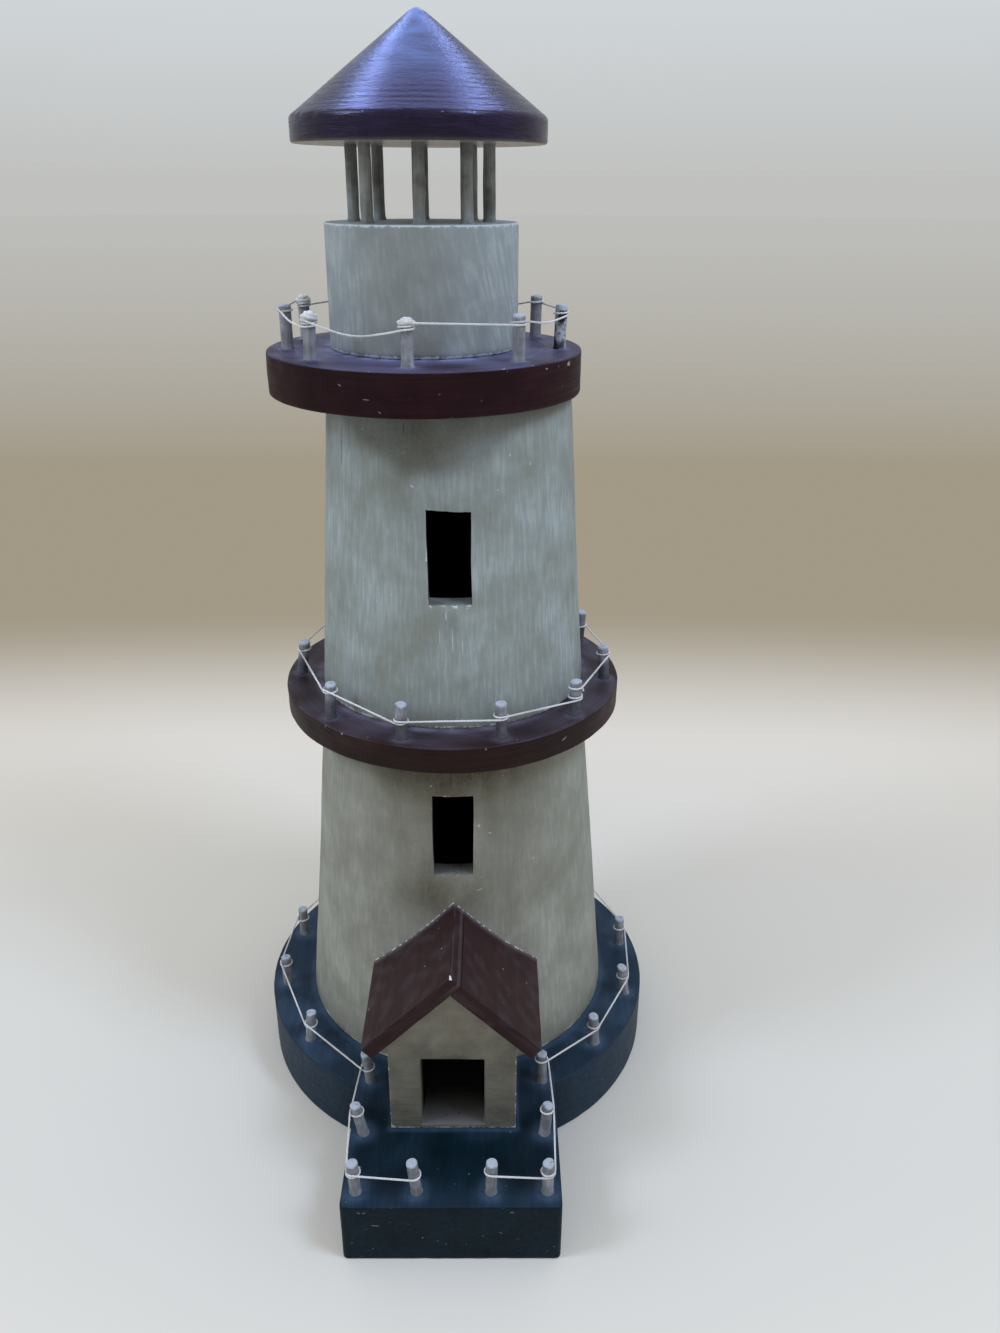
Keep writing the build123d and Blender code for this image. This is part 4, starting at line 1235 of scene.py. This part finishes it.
def lay_board(name, corners, seed, worn, laps):
    """Board with an eased end outline, rows from the front end to the tower's wall and both ends closed to
    their middles. Worn lists chips, each a place and a size; laps is 1 for the board that shows end grain."""
    corners = np.array(corners, float)
    middle = corners.mean(0)
    seam = (corners[:1] + corners[1:2]) / 2
    outline = eased(np.vstack([seam, corners[1:], corners[:1], seam]), board_ease, gap=0.8)[:-1]
    share = np.array([0, 0.5, 0.92, 0.985] + [1] * board_rows + [0.6, 0])[:, None]
    out_x, out_z = (outline - middle).T
    x, z = hut_shift + middle[0] + out_x * share, middle[1] + out_z * share
    along = np.concatenate([np.zeros(4), np.linspace(0.008, 1, board_rows), [1, 1]])[:, None]
    y = board_start * (1 - along) + tower_face(x, z) * along
    way = full_turn(len(outline))
    swell = (0.06 * waves(way, y, seed, 8, 14) - 0.05) * (share > 0.9) / np.hypot(out_x, out_z)
    x, z = x + out_x * swell, z + out_z * swell
    chipped = np.zeros(x.shape)
    for chip_x, chip_y, chip_z, size in worn:
        chip_gap = np.sqrt((x - chip_x) ** 2 + (y - chip_y) ** 2 + (z - chip_z) ** 2)
        chipped = np.maximum(chipped, near(chip_gap, size))
    z = z - 0.25 * chipped
    tower_gap = tower_face(x, z) - y
    edge = np.linalg.norm(outline[:, None] - corners, axis=2).min(1)
    bare = near(edge, 0.4) * (0.05 + 0.16 * waves(way, y, seed + 1, 9, 5)) * (y - board_start > 1.5) + chipped
    bare = bare + near(tower_gap, 0.6) * np.clip(0.42 + 0.2 * waves(way, 0 * y, seed + 2, 40, 3), 0, 0.6)
    end_grain = laps * (x > hut_shift + 0.15) * (z > ridge - 4.5)
    dirt = 0.6 * near(tower_gap, 1.3) + 0.06 * np.clip(waves(way * 2, y, seed + 3, 6, 6), 0, 1)
    dirt = dirt + end_grain * np.clip(0.05 + 0.4 * waves(way * 30, 0 * y, seed + 5, 3, 9), 0, 0.5)
    points = np.stack([x, y, z], -1)
    make_piece(
        name, points, hut_roof_paint, "tower", "hut_roof_paint",
        stroke=points[..., [0, 2, 1]], dirt=dirt, bare=bare,
    )
    print(name, points.shape[0], "by", points.shape[1], "points")


lay_board(
    "hut_roof_left", [(-half_span, eave), (-eave_cut[0], eave_cut[1]), lap, (0, ridge)], seed=95, laps=1,
    worn=[
        (hut_shift + 0.4, board_start + 0.1, ridge, 0.6), (hut_shift + 0.2, board_start + 1.1, ridge, 0.45),
        (hut_shift - 14, -60, 61.5, 0.5), (hut_shift - 9, -50, 66, 0.4),
    ],
)
lay_board(
    "hut_roof_right", [(half_span, eave), lap, (0, under_ridge), eave_cut], seed=97, laps=0,
    worn=[(hut_shift + 18, -70, 57.5, 0.6), (hut_shift + 8, -52, 67, 0.4)],
)

# %% [markdown]
# ## Knots
# On three posts of the upper rail the string is tied in a lump of tight turns, stiff with paint. Winding a
# real knot would hide under that paint, so each lump is a flattened ball with ridges as wide as the string.

# %% Knots
knot_columns, knot_rows = 44, 31


def tie_knot(name, middle, wide, tall, turns, tilt, seed):
    """Ball x = wide s cos v cos u, y = wide s cos v sin u, z = tall s sin v, with small uneven swellings and
    the ridges s = 0.9 + 0.16 |cos(turns v + tilt sin(u - seed))|."""
    u = full_turn(knot_columns)
    v = np.linspace(-np.pi / 2, np.pi / 2, knot_rows)[:, None]
    ridges = 0.9 + 0.16 * np.abs(np.cos(turns * v + tilt * np.sin(u - seed)))
    swell = ridges + 0.05 * np.cos(v) * waves(u, v, seed, 4, 1.2)
    flat = wide * swell * np.cos(v)
    points = grid_points(flat * np.cos(u), flat * np.sin(u), tall * swell * np.sin(v))
    make_piece(name, points + middle, spun_cotton, "lid", "rail_string", replaces=False, stroke=points)


# Number of the post, height above its foot, half the width and height of the knot, turns and their tilt
knots = ((3, 10.0, 1.85, 1.3, 3, 0.8), (5, 9.5, 2.05, 1.5, 4, 1.6), (6, 9.8, 2.0, 1.1, 2, 0.9))
for number, height, wide, tall, turns, tilt in knots:
    middle = upper_feet[number - 1] + np.array([upper_leans[number - 1] * height, 0, height])
    tie_knot(f"upper_knot_{number}", middle, wide, tall, turns, tilt, number)
print("knots:", len(knots))
